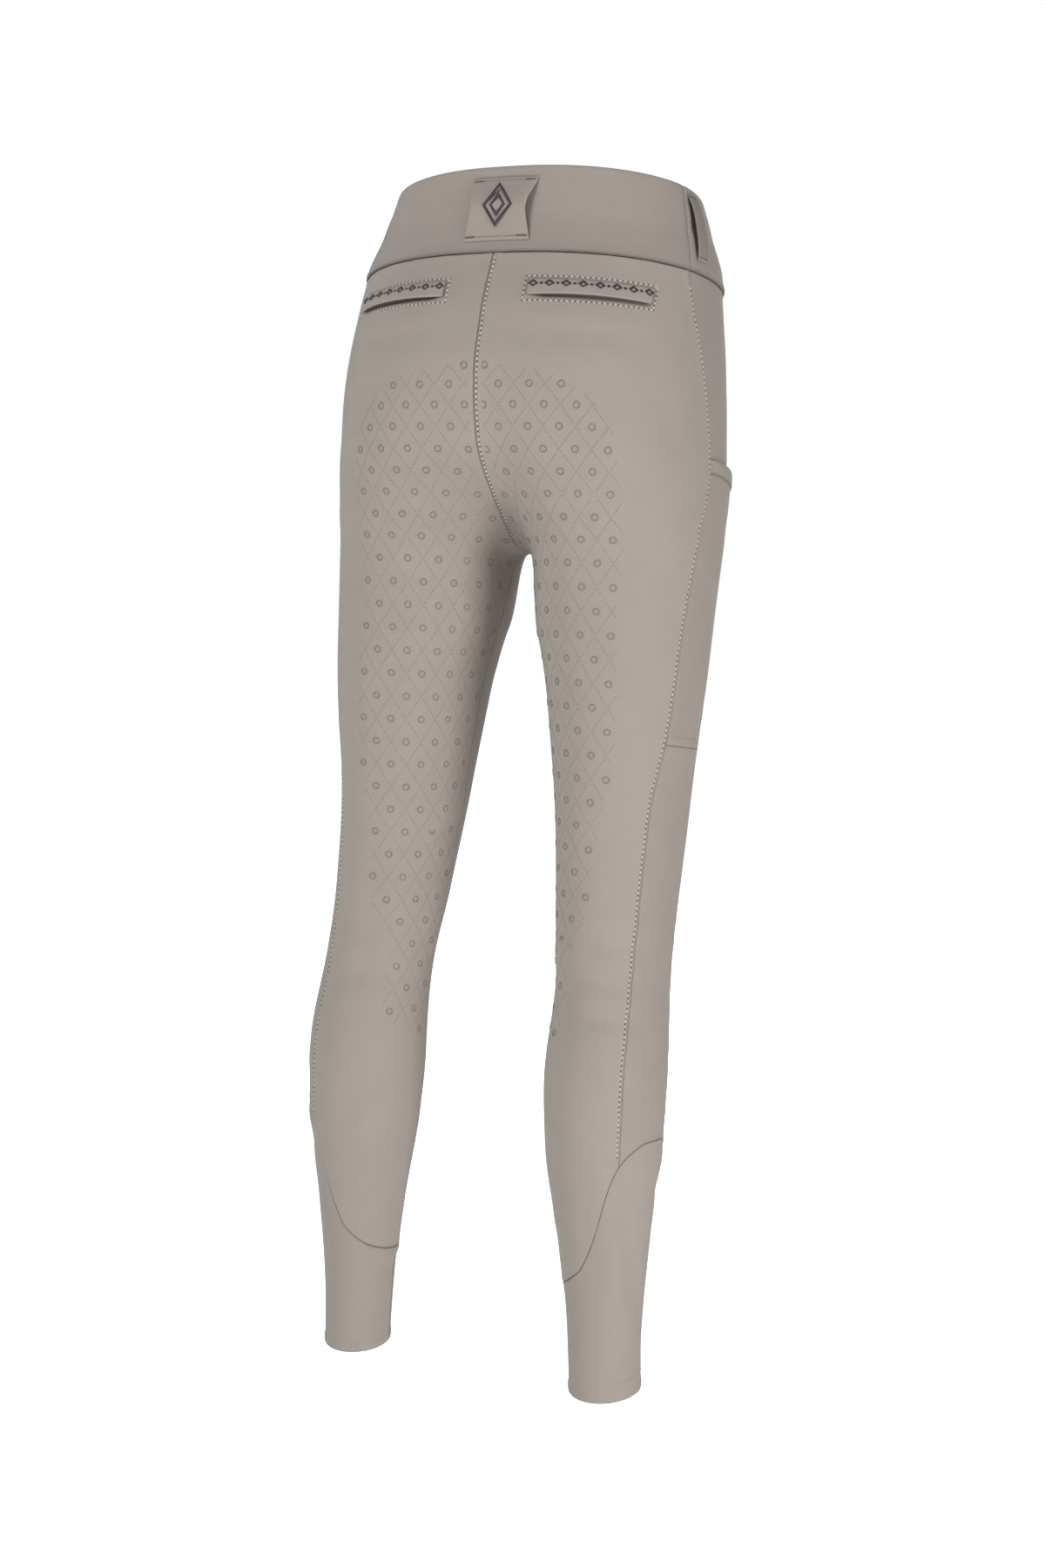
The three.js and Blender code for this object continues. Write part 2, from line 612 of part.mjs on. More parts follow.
// One leg with its half of the seat: back, front and side panels, pocket, welt and cuff
function addHalf(side, word) {
  const toCentreBack = (drop) => centreAngle(drop, -1);
  const toCentreFront = (drop) => centreAngle(drop, 1);
  const leg = (columns, from, to) => (
    clearOfCentre(insetGrid(panelGrid(side, LEG_ROWS, columns, from, to)), side));
  const backGrid = leg(BACK_COLUMNS, sideSeamBack, toCentreBack);
  const frontGrid = leg(FRONT_COLUMNS, sideSeamFront, toCentreFront);
  addPiece(`back_${word}`, wallGeometry(backGrid, -CLOTH, 0));
  addPiece(`front_${word}`, wallGeometry(frontGrid, -CLOTH, 0));
  const sidePanel = (rows) => insetGrid(panelGrid(side, rows, SIDE_COLUMNS, sideSeamBack, sideSeamFront));
  const upperGrid = sidePanel(UPPER_ROWS);
  addPiece(`side_upper_${word}`, wallGeometry(upperGrid, -CLOTH, 0));
  addPiece(`side_lower_${word}`, wallGeometry(sidePanel(LOWER_ROWS), -CLOTH, 0));
  addPocket(upperGrid, `pocket_${word}`);
  addWelt(backGrid, `welt_${word}`);
  addCuff(side, `cuff_${word}`);
  addBeltLoop(side, `belt_loop_${word}`);
}

addWaistband();
addBackTab();
addHalf(1, 'left');
addHalf(-1, 'right');

export default group;
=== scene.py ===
"""Riding breeches in worn form, with no wearer: the looks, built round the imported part.

Metres in Blender, +Z up, front towards -Y, the wearer's left towards +X. The cloth is worked out in
millimetres. A place on it is an angle round the body or leg, 0 on the outer side, negative towards the back
and 180 on the inner side, and a drop below the waist.
"""

import logging
import math
from dataclasses import dataclass, field
from enum import Enum
from typing import Callable, Sequence

import bmesh
import bpy
import numpy as np
from mathutils import Matrix, Vector


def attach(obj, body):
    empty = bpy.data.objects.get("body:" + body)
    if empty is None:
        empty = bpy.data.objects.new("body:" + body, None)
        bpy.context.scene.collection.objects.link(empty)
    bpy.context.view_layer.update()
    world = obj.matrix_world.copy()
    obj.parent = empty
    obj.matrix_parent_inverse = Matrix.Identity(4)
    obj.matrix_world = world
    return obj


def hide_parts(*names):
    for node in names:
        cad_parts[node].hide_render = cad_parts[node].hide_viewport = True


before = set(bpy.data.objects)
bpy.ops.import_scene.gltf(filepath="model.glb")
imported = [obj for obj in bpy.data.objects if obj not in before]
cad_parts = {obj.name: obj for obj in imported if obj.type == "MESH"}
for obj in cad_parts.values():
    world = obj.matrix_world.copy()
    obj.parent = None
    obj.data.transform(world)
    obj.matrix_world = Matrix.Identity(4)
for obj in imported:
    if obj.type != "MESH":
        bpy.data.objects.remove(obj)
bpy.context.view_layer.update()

log = logging.getLogger("breeches")

MM = 0.001
Curve = Callable[[np.ndarray], np.ndarray]

# Driving dimensions of the part, in millimetres
CLOTH = 1.6
CUFF_CLOTH = 1.3
BAND_INSIDE = 1.8
RIM_SIDE_DROP = 8.0
RIM_TILT = 8.0
BAND_SEAM_SIDE_DROP = 78.0
BAND_SEAM_TILT = 10.5
BAND_SIDE_SEAM_TOP_ANGLE = -15.0
BAND_SIDE_SEAM_FOOT_ANGLE = -23.0
KNEE_END_DROP = 680.0
HEM_DROP = 940.0
HEM_TURN_UP = 7.0
POCKET_FOOT_DROP = 426.0
POCKET_OPENING_DROP = 218.0
POCKET_OPENING_SHARE = 0.634
WELT_TOP_SHARE = 0.1
WELT_FOOT_SHARE = 0.155
WELT_FROM_CENTRE = 33.0
WELT_LENGTH = 95.0

# Where the crotch is looked for, how the web between the legs fades, and how finely places are solved
CROTCH_BETWEEN = (275.0, 330.0)
WEB_FADE = 1.5
HALVINGS = 45
WEB_ROUNDS = 40

# Half sections of the worn form, a row for each level
SECTION_COLUMNS = (
    "drop", "cx", "cy", "outer", "inner", "front", "back", "round", "web_front", "web_back", "turn")
SECTIONS = (
    (-20, 0, 6, 115, 115, 88, 84, 2.15, 20, 20, 0),
    (0, 0, 4, 120, 120, 88, 86, 2.15, 20, 20, 0),
    (35, 0, 4, 131, 131, 92, 93, 2.15, 22, 22, 0),
    (70, 4, 8, 139, 141, 98, 104, 2.15, 26, 23, 0),
    (115, 14, 13, 135, 137, 104, 117, 2.12, 34, 24, 0),
    (160, 30, 15, 123, 126, 106, 123, 2.1, 44, 25, 0),
    (205, 50, 14, 105, 100, 102, 120, 2.08, 50, 22, 0),
    (245, 66, 13, 91, 76, 96, 106, 2.06, 44, 16, 0),
    (262, 71, 15, 86, 66, 94, 99, 2.05, 38, 14, 0),
    (275, 74, 16, 83, 63, 91, 92, 2.04, 30, 13, 0),
    (288, 77, 18, 79.5, 62.5, 89, 86, 2.04, 14, 13, 0),
    (320, 81, 22, 74, 64, 86, 79, 2.03, 12, 12, 0),
    (400, 90, 28, 61, 58, 76, 72, 2, 12, 12, 0),
    (480, 93, 31, 52, 50, 66, 64, 2, 12, 12, 3),
    (560, 96, 43, 47, 45, 55, 54, 2, 12, 12, 6),
    (615, 101, 55, 43.5, 44, 49, 48, 2, 12, 12, 8),
    (690, 105, 67, 45, 49, 46, 54, 2, 12, 12, 10),
    (740, 105, 67, 44, 46, 43, 52, 2, 12, 12, 10),
    (820, 107, 63, 34.5, 35.5, 38, 42, 2, 12, 12, 10),
    (890, 109, 59, 28, 29.5, 34, 36, 2, 12, 12, 10),
    (960, 111, 55, 25.5, 27, 34, 36, 2, 12, 12, 10),
)

# Angles of the two long seams of the side panel at each level
SIDE_SEAM_COLUMNS = ("drop", "back", "front")
SIDE_SEAMS = (
    (60, -23, 26),
    (105, -19, 29),
    (150, -14, 32),
    (215, -10.5, 34),
    (275, -21, 32),
    (340, -28, 26),
    (425, -33.5, 15),
    (485, -40, 14),
    (560, -41, 19),
    (640, -43.5, 23),
    (760, -43.5, 24),
)

# Upper edge of the stretch cuff
CUFF_EDGE_COLUMNS = ("angle", "drop")
CUFF_EDGE = (
    (-180, 856),
    (-150, 853),
    (-120, 847),
    (-105, 841),
    (-90, 833),
    (-77, 818),
    (-66, 798),
    (-55, 768),
    (-45, 748),
    (-33, 737),
    (-15, 730),
    (10, 731),
    (30, 739),
    (48, 757),
    (66, 795),
    (90, 830),
    (120, 846),
    (180, 856),
)

# Folds of the cloth. Side is 1 left, -1 right and 0 both. Each has its middle (angle, drop), the tilt of its
# line from level, half its length, half its width and its height, below zero for a trough. The first rows are
# the solids' own folds, and the rest are the finer creases.
FOLD_COLUMNS = ("side", "angle", "drop", "tilt", "reach", "spread", "height")
FOLDS = (
    (-1, -62, 566, 3, 30, 10, 1.3),
    (-1, -66, 597, -2, 34, 11, 1.2),
    (-1, -62, 622, 4, 30, 10, 1.3),
    (-1, -64, 648, 0, 30, 10, 1.0),
    (1, -95, 560, -4, 34, 11, 1.2),
    (1, -92, 604, 3, 32, 11, 1.1),
    (1, -98, 640, 0, 30, 10, 1.0),
    (1, -160, 494, 20, 26, 12, 1.8),
    (-1, -120, 590, -14, 24, 10, 1.8),
    (0, -58, 119, 2, 46, 8, 1.0),
    (0, -140, 330, -38, 40, 11, 1.4),
    (0, 140, 326, 34, 40, 11, 1.4),
    (0, 82, 268, 24, 44, 10, 1.5),
    (0, 100, 580, 4, 30, 11, 1.1),
)
CREASES = (
    (-1, -58, 581, 2, 26, 5, -0.9),
    (-1, -63, 609, 1, 30, 5, -0.8),
    (-1, -60, 636, 3, 24, 5, -0.8),
    (-1, -104, 577, -8, 30, 7, -0.9),
    (-1, -112, 612, -10, 26, 6, -0.7),
    (1, -96, 580, 1, 30, 5, -0.8),
    (1, -98, 622, 3, 26, 6, -0.7),
    (1, -150, 512, 16, 26, 7, -0.9),
    (0, -62, 130, 3, 40, 6, -0.6),
    (0, -128, 318, -32, 34, 6, -0.7),
    (0, 128, 316, 30, 34, 6, -0.8),
    (0, 84, 290, 18, 40, 10, 0.8),
    (0, 70, 318, 14, 30, 9, -0.4),
    (0, 98, 594, 3, 28, 6, -0.7),
    (0, 92, 612, -2, 26, 8, 0.6),
    (-1, 18, 750, 0, 24, 12, 1.5),
    (-1, 24, 776, 0, 24, 8, -0.9),
    (1, -26, 744, 0, 18, 9, 1.3),
    (1, -30, 768, 0, 22, 9, -1.0),
    (1, -160, 859, 0, 18, 5.5, 2.0),
    (1, -156, 876, 0, 20, 7, -0.9),
    (-1, -24, 818, 78, 58, 9, -1.4),
    (-1, -48, 812, 78, 60, 10, 1.2),
    (1, -60, 876, 70, 40, 9, -0.6),
    (0, 30, 900, 60, 34, 9, -0.6),
    (0, -18, 700, 22, 22, 9, 0.6),
    (0, -120, 800, -10, 24, 9, 0.6),
    (0, -104, 120, 4, 34, 7, -0.6),
    (0, -70, 146, -4, 46, 10, 0.7),
    (0, -34, 196, 60, 40, 10, -0.6),
)

# Outer edge of the grip print on the back panel
PRINT_EDGE_COLUMNS = ("drop", "angle")
PRINT_EDGE = (
    (149, -100),
    (156, -84),
    (167, -70.5),
    (200, -60),
    (266, -64.5),
    (330, -72),
    (425, -73.5),
    (500, -82),
    (527, -85.5),
    (578, -96),
    (600, -113),
    (644, -116),
    (664, -136),
    (680, -176),
)


class Side(Enum):
    """The wearer's side, as the sign of X."""

    LEFT = 1
    RIGHT = -1

    @property
    def word(self) -> str:
        """The side's name in node names."""
        return self.name.lower()


class Facing(Enum):
    """Which centre line a place is near, as the sign of its angle."""

    BACK = -1
    FRONT = 1


def between(start: float, end: float, share: float) -> float:
    """A value part of the way from start to end."""
    return start + (end - start) * share


def smooth_step(low: float, high: float, at: np.ndarray) -> np.ndarray:
    """0 below low, 1 above high and a smooth rise between them."""
    t = np.clip((np.asarray(at, float) - low) / (high - low), 0, 1)
    return t * t * (3 - 2 * t)


def bell(at: np.ndarray, middle: float, spread: float) -> np.ndarray:
    """A soft bump of height 1 round middle."""
    return np.exp(-(((np.asarray(at, float) - middle) / spread) ** 2))


class SmoothCurve:
    """A curve through the rows of a table that never overshoots them."""

    def __init__(self, rows: Sequence, columns: Sequence[str], from_name: str, to_name: str) -> None:
        """Works out the curve's tangents.

        Args:
            rows: the table's rows.
            columns: names of its columns.
            from_name: column that rises down the table.
            to_name: column that the curve gives.
        """
        self.x = np.array([row[columns.index(from_name)] for row in rows], float)
        self.y = np.array([row[columns.index(to_name)] for row in rows], float)
        width = np.diff(self.x)
        slope = np.diff(self.y) / width
        self.tangent = np.empty_like(self.x)
        self.tangent[0], self.tangent[-1] = slope[0], slope[-1]
        before, after = slope[:-1], slope[1:]
        weight_before = 2 * width[1:] + width[:-1]
        weight_after = width[1:] + 2 * width[:-1]
        with np.errstate(divide="ignore", invalid="ignore"):
            mean = (weight_before + weight_after) / (weight_before / before + weight_after / after)
        self.tangent[1:-1] = np.where(before * after > 0, mean, 0)

    def __call__(self, at: np.ndarray) -> np.ndarray:
        """The curve's value, held at its ends."""
        at = np.clip(np.asarray(at, float), self.x[0], self.x[-1])
        i = np.clip(np.searchsorted(self.x, at, side="right") - 1, 0, len(self.x) - 2)
        width = self.x[i + 1] - self.x[i]
        t = (at - self.x[i]) / width
        return (self.y[i] * (1 + 2 * t) * (1 - t) ** 2
                + self.tangent[i] * width * t * (1 - t) ** 2
                + self.y[i + 1] * t * t * (3 - 2 * t)
                + self.tangent[i + 1] * width * t * t * (t - 1))


class WornForm:
    """The outer face of the cloth as worn."""

    def __init__(self) -> None:
        """Reads the tables."""
        self.curves = {name: SmoothCurve(SECTIONS, SECTION_COLUMNS, "drop", name)
                       for name in SECTION_COLUMNS[1:]}
        self.folds = [dict(zip(FOLD_COLUMNS, row)) for row in FOLDS + CREASES]
        self.crotch = self._crotch()

    def section(self, drop: np.ndarray) -> dict[str, np.ndarray]:
        """The section's measures at each drop."""
        return {name: curve(drop) for name, curve in self.curves.items()}

    @staticmethod
    def web(section: dict, backness: np.ndarray) -> np.ndarray:
        """Width of the web that joins the halves, from front (-1) to back (1)."""
        return between(section["web_back"], section["web_front"], smooth_step(-1, 1, -backness))

    @staticmethod
    def bridged(x: np.ndarray, web: np.ndarray) -> np.ndarray:
        """Distance from the centre plane as the section sees it."""
        return np.sqrt(x * x + web * web * np.exp(-(x * x) / (WEB_FADE * web) ** 2))

    @staticmethod
    def unbridged(distance: np.ndarray, web: np.ndarray) -> np.ndarray:
        """The x that is seen at a distance."""
        spread = (WEB_FADE * web) ** 2
        square = np.maximum(distance ** 2 - web ** 2, 0)
        for _ in range(WEB_ROUNDS):
            fade = np.exp(-square / spread)
            error = square + web * web * fade - distance ** 2
            square = np.maximum(square - error / (1 - (web * web / spread) * fade), 0)
        return np.sqrt(square)

    def corner(self, section: dict, angle: np.ndarray) -> tuple[np.ndarray, np.ndarray, np.ndarray]:
        """Distance, y and web of the section's outline at an angle."""
        turn = np.radians(angle)
        power = 2 / section["round"]
        outward = np.cos(turn)
        backness = -np.sign(angle) * np.abs(np.sin(turn)) ** power
        reach = np.where(outward > 0, section["outer"], section["inner"])
        distance = section["cx"] + reach * np.sign(outward) * np.abs(outward) ** power
        depth = np.where(backness > 0, section["back"], section["front"])
        return distance, section["cy"] + depth * backness, self.web(section, backness)

    def _crotch(self) -> float:
        """Drop at which the two legs part."""
        low, high = CROTCH_BETWEEN
        for _ in range(HALVINGS):
            middle = (low + high) / 2
            section = self.section(np.array(middle))
            if section["cx"] - section["inner"] < self.web(section, np.array(0.0)):
                low = middle
            else:
                high = middle
        return (low + high) / 2

    def angle_at(self, drop: np.ndarray, x: float, facing: Facing) -> np.ndarray:
        """Angle of the outline at a distance from the centre plane, 180 below the crotch if x is 0.

        Args:
            drop: levels.
            x: millimetres from the centre plane.
            facing: the back or the front.

        Returns:
            Signed angles in degrees.
        """
        drop = np.asarray(drop, float)
        section = self.section(drop)
        low = np.zeros_like(drop)
        high = np.full_like(drop, 180.0)
        for _ in range(HALVINGS):
            middle = (low + high) / 2
            distance, _, web = self.corner(section, middle * facing.value)
            outside = distance > self.bridged(x, web)
            low = np.where(outside, middle, low)
            high = np.where(outside, high, middle)
        angle = np.where(drop >= self.crotch - 1e-6, 180.0, low) if x == 0 else low
        return angle * facing.value

    def value(self, x: np.ndarray, y: np.ndarray, drop: np.ndarray) -> np.ndarray:
        """The form's implicit function, 1 on the surface."""
        section = self.section(drop)
        sideways = y - section["cy"]
        reach = np.where(sideways > 0, section["back"], section["front"])
        web = self.web(section, np.clip(sideways / reach, -1, 1))
        across = self.bridged(x, web) - section["cx"]
        width = np.where(across > 0, section["outer"], section["inner"])
        power = section["round"]
        return np.abs(across / width) ** power + np.abs(sideways / reach) ** power

    def fold_height(self, side: Side, angle: np.ndarray, drop: np.ndarray) -> np.ndarray:
        """How far the folds raise the cloth at each place."""
        section = self.section(drop)
        mean = (section["outer"] + section["inner"] + section["front"] + section["back"]) / 4
        per_degree = np.radians(mean)
        total = np.zeros(np.broadcast(angle, drop).shape)
        for fold in self.folds:
            if fold["side"] not in (0, side.value):
                continue
            across = ((angle - fold["angle"] + 180) % 360 - 180) * per_degree
            down = drop - fold["drop"]
            turn = math.radians(fold["tilt"])
            along = (across * math.cos(turn) + down * math.sin(turn)) / fold["reach"]
            beside = (down * math.cos(turn) - across * math.sin(turn)) / fold["spread"]
            total = total + fold["height"] * np.exp(-(along ** 4) - beside ** 2)
        return total

    def place(self, side: Side, angle: np.ndarray, drop: np.ndarray) -> tuple[np.ndarray, np.ndarray]:
        """Points of the form without its folds, and their outward normals.

        Args:
            side: the wearer's side.
            angle: degrees round the leg.
            drop: millimetres below the waist.

        Returns:
            Points and normals, with a last axis of 3.
        """
        angle, drop = np.broadcast_arrays(np.asarray(angle, float), np.asarray(drop, float))
        section = self.section(drop)
        distance, y, web = self.corner(section, angle)
        x = self.unbridged(distance, web)
        step = 0.1
        normal = np.stack([
            self.value(x + step, y, drop) - self.value(x - step, y, drop),
            self.value(x, y + step, drop) - self.value(x, y - step, drop),
            self.value(x, y, drop - step) - self.value(x, y, drop + step)], -1)
        normal /= np.linalg.norm(normal, axis=-1, keepdims=True)
        turn = np.radians(section["turn"])
        cosine, sine = np.cos(turn), np.sin(turn)
        dx, dy = x - section["cx"], y - section["cy"]
        point = np.stack([
            side.value * (section["cx"] + dx * cosine - dy * sine),
            section["cy"] + dx * sine + dy * cosine,
            -drop], -1)
        turned = np.stack([
            side.value * (normal[..., 0] * cosine - normal[..., 1] * sine),
            normal[..., 0] * sine + normal[..., 1] * cosine,
            normal[..., 2]], -1)
        return point, turned

    def surface(self, side: Side, angle: np.ndarray, drop: np.ndarray,
                lift: np.ndarray | float = 0.0) -> tuple[np.ndarray, np.ndarray]:
        """Points of the cloth's outer face with its folds, raised by lift, and their normals."""
        point, normal = self.place(side, angle, drop)
        height = self.fold_height(side, np.asarray(angle, float), np.asarray(drop, float)) + lift
        return point + normal * height[..., None], normal


FORM = WornForm()
SEAM_CURVES = {name: SmoothCurve(SIDE_SEAMS, SIDE_SEAM_COLUMNS, "drop", name) for name in ("back", "front")}
cuff_edge = SmoothCurve(CUFF_EDGE, CUFF_EDGE_COLUMNS, "angle", "drop")
print_edge = SmoothCurve(PRINT_EDGE, PRINT_EDGE_COLUMNS, "drop", "angle")


def centre_back(drop: np.ndarray) -> np.ndarray:
    """Angle of the centre-back seam, and of the inner leg seam below it."""
    return FORM.angle_at(drop, 0, Facing.BACK)


def centre_front(drop: np.ndarray) -> np.ndarray:
    """Angle of the centre-front seam, and of the inner leg seam below it."""
    return FORM.angle_at(drop, 0, Facing.FRONT)


def band_side_seam(drop: np.ndarray) -> np.ndarray:
    """Angle of the waistband's side seam."""
    share = (np.asarray(drop, float) - RIM_SIDE_DROP) / (BAND_SEAM_SIDE_DROP - RIM_SIDE_DROP)
    return between(BAND_SIDE_SEAM_TOP_ANGLE, BAND_SIDE_SEAM_FOOT_ANGLE, share)


def backness(angle: np.ndarray) -> np.ndarray:
    """How far a place is towards the back, from -1 to 1."""
    return -np.sin(np.radians(np.clip(angle, -180, 180)))


def rim_drop(angle: np.ndarray) -> np.ndarray:
    """Level of the waistband's top."""
    return RIM_SIDE_DROP - RIM_TILT * backness(angle)


def band_seam_drop(angle: np.ndarray) -> np.ndarray:
    """Level of the seam under the waistband."""
    return BAND_SEAM_SIDE_DROP - BAND_SEAM_TILT * backness(angle)


def level(drop: float) -> Curve:
    """The same level at every angle."""
    return lambda angle: np.full_like(np.asarray(angle, float), drop)


def seat_level(share: float) -> Curve:
    """A level part of the way from the waistband's seam to the crotch."""
    return lambda angle: between(band_seam_drop(angle), FORM.crotch, share)


def per_degree(side: Side, angle: np.ndarray, drop: np.ndarray, step: float) -> np.ndarray:
    """Millimetres of cloth in a degree of angle, measured over a step of it."""
    here, _ = FORM.place(side, angle, drop)
    there, _ = FORM.place(side, angle + step, drop)
    return np.linalg.norm(there - here, axis=-1) / abs(step)


def lengths_along(points: np.ndarray, axis: int = 0) -> np.ndarray:
    """How far along its line each point is, in the points' own unit."""
    reached = np.cumsum(np.linalg.norm(np.diff(points, axis=axis), axis=-1), axis)
    return np.concatenate([np.zeros_like(reached.take([0], axis)), reached], axis)


def on_line(at: np.ndarray, reached: np.ndarray, line: np.ndarray) -> np.ndarray:
    """Points or directions of a line at distances along it."""
    return np.stack([np.interp(at, reached, line[:, k]) for k in range(3)], -1)


# Spacing of the cloth's grid, in millimetres, and the closer steps from a seam and at the crotch
SPACING = 3.8
SEAM_STEPS = (0.0, 0.5, 1.0, 1.6, 2.3, 3.0, 4.0, 5.6, 8.0)
CROTCH_STEPS = (0.0, 0.8, 1.8, 3.2, 5.0, 7.6)

# How far neighbouring panels run into each other at a seam, in millimetres and degrees, so that it lets
# no light through
EDGE_OVERLAP = 0.35
EDGE_OVERLAP_TURN = 0.25

# Where an edge is first looked for, how finely it is followed, and a row measured between its edges
EDGE_START_DROP = 200.0
EDGE_ROUNDS = 25
ROW_PLACES = 241


def spaced(depth: float, first: Sequence[float] = (0.0,), last: Sequence[float] = (0.0,)) -> np.ndarray:
    """Shares of a length, close at its ends and evenly spaced between.

    Args:
        depth: the length in millimetres.
        first: distances of the first places from the start.
        last: distances of the last places from the end.

    Returns:
        Shares from 0 to 1.
    """
    count = max(int((depth - first[-1] - last[-1]) / SPACING), 1)
    middle = np.linspace(first[-1], depth - last[-1], count + 1)[1:-1]
    return np.concatenate([first, middle, depth - np.array(last[::-1])]) / depth


@dataclass
class Zone:
    """Rows between two levels, each a function of the angle."""

    top: Curve
    foot: Curve
    shares: np.ndarray

    def drops(self, angle: np.ndarray) -> np.ndarray:
        """Drop of each of the zone's rows at angles given row by row."""
        return between(self.top(angle), self.foot(angle), self.shares[:, None])


@dataclass
class Patch:
    """A grid of places on the form, rows down and columns across, with its measures in millimetres."""

    side: Side
    angle: np.ndarray
    drop: np.ndarray
    point: np.ndarray
    normal: np.ndarray
    from_first: np.ndarray
    from_last: np.ndarray
    from_top: np.ndarray
    from_foot: np.ndarray

    @property
    def along(self) -> np.ndarray:
        """Share of the way down."""
        return self.from_top / (self.from_top + self.from_foot)

    @property
    def across(self) -> np.ndarray:
        """Share of the way across."""
        return self.from_first / (self.from_first + self.from_last)

    @property
    def from_sides(self) -> np.ndarray:
        """Distance from the nearer side edge."""
        return np.minimum(self.from_first, self.from_last)

    def then(self, other: "Patch", mirrored: bool = False) -> "Patch":
        """This patch with another after its last column, in reverse order if it is the other side's."""
        columns = slice(-2, None, -1) if mirrored else slice(1, None)
        onward, back = other.from_first, other.from_last
        if mirrored:
            onward, back = back, onward

        def join(mine: np.ndarray, theirs: np.ndarray) -> np.ndarray:
            """Their columns after mine, the shared one once."""
            return np.concatenate([mine, theirs[:, columns]], 1)

        shared = {name: join(getattr(self, name), getattr(other, name))
                  for name in ("angle", "drop", "point", "normal", "from_top", "from_foot")}
        length = self.from_first[:, -1:] + self.from_last[:, -1:]
        other_length = other.from_first[:, -1:] + other.from_last[:, -1:]
        return Patch(self.side, **shared, from_first=join(self.from_first, length + onward),
                     from_last=join(self.from_last + other_length, back))


def lay_out(side: Side, zones: Sequence[Zone], first_edge: Curve, last_edge: Curve,
            columns: Callable[[np.ndarray], np.ndarray], to_centre: bool = False) -> Patch:
    """Lays a grid on the form between two edges, its columns at measured distances.

    Args:
        side: the wearer's side.
        zones: the rows, from the top down.
        first_edge: angle of the first edge at each drop.
        last_edge: angle of the last edge at each drop.
        columns: distances of the columns from the first edge, for each row's length.
        to_centre: whether the last edge lies in the centre plane, where angles crowd.

    Returns:
        The patch.
    """
    def drops(angle: np.ndarray) -> np.ndarray:
        """Drops of all the rows."""
        counts = np.cumsum([0] + [len(zone.shares) for zone in zones])
        return np.concatenate([zone.drops(angle[low:high]) for zone, low, high
                               in zip(zones, counts[:-1], counts[1:])])

    count = sum(len(zone.shares) for zone in zones)
    ends = []
    for edge in (first_edge, last_edge):
        angle = np.full((count, 1), float(edge(np.array(EDGE_START_DROP))))
        for _ in range(EDGE_ROUNDS):
            angle = edge(drops(angle))
        ends.append(angle)
    t = np.linspace(0, 1, ROW_PLACES)[None]
    turn = np.sign(ends[1] - ends[0]) * EDGE_OVERLAP_TURN
    ends[0] = np.clip(ends[0] - turn, -180, 180)
    if not to_centre:
        ends[1] = np.clip(ends[1] + turn, -180, 180)
    angles = between(ends[0], ends[1], 1 - (1 - t) ** 2 if to_centre else t)
    points, _ = FORM.place(side, angles, drops(angles))
    reached = lengths_along(points, 1)
    wanted = columns(reached[:, -1])
    angle = np.array([np.interp(wanted[r], reached[r], angles[r]) for r in range(count)])
    drop = drops(angle)
    drop[0] -= EDGE_OVERLAP
    drop[-1] += EDGE_OVERLAP
    point, normal = FORM.place(side, angle, drop)
    down = lengths_along(point)
    return Patch(side, angle, drop, point, normal, wanted - wanted[:, :1],
                 wanted[:, -1:] - wanted, down, down[-1:] - down)


def even_columns(first: Sequence[float] = SEAM_STEPS,
                 last: Sequence[float] = SEAM_STEPS) -> Callable[[np.ndarray], np.ndarray]:
    """Columns close together at the seams and evenly spaced between them."""
    def columns(lengths: np.ndarray) -> np.ndarray:
        """Distances for rows of these lengths."""
        start, end = np.array(first), np.array(last)
        count = max(int((lengths.max() - start[-1] - end[-1]) / SPACING), 1)
        share = np.linspace(0, 1, count + 1)[None, 1:-1]
        middle = start[-1] + (lengths[:, None] - start[-1] - end[-1]) * share
        head = np.broadcast_to(start, (len(lengths), len(start)))
        return np.concatenate([head, middle, lengths[:, None] - end[None, ::-1]], 1)
    return columns


def linear(hex_colour: str) -> tuple[float, float, float, float]:
    """An sRGB hex colour as linear red, green, blue and alpha."""
    channels = [int(hex_colour[i:i + 2], 16) / 255 for i in (1, 3, 5)]
    return (*[c / 12.92 if c <= 0.04045 else ((c + 0.055) / 1.055) ** 2.4 for c in channels], 1.0)


def add_node(tree: bpy.types.NodeTree, kind: str, inputs: dict | None = None, **settings) -> bpy.types.Node:
    """Adds a node with its settings and its inputs.

    Args:
        tree: the material's or the world's node tree.
        kind: the node's type.
        inputs: a value or an output socket for each named or numbered input.
        **settings: the node's own properties.

    Returns:
        The node.
    """
    node = tree.nodes.new(kind)
    for name, value in settings.items():
        setattr(node, name, value)
    for name, value in (inputs or {}).items():
        if isinstance(value, bpy.types.NodeSocket):
            tree.links.new(value, node.inputs[name])
        else:
            node.inputs[name].default_value = value
    return node


def new_material(name: str) -> tuple[bpy.types.Material, bpy.types.NodeTree]:
    """An empty node material and its tree."""
    material = bpy.data.materials.new(name)
    material.use_nodes = True
    material.node_tree.nodes.clear()
    return material, material.node_tree


# A wave texture's period at scale 1
WAVE_PERIOD = 0.31416


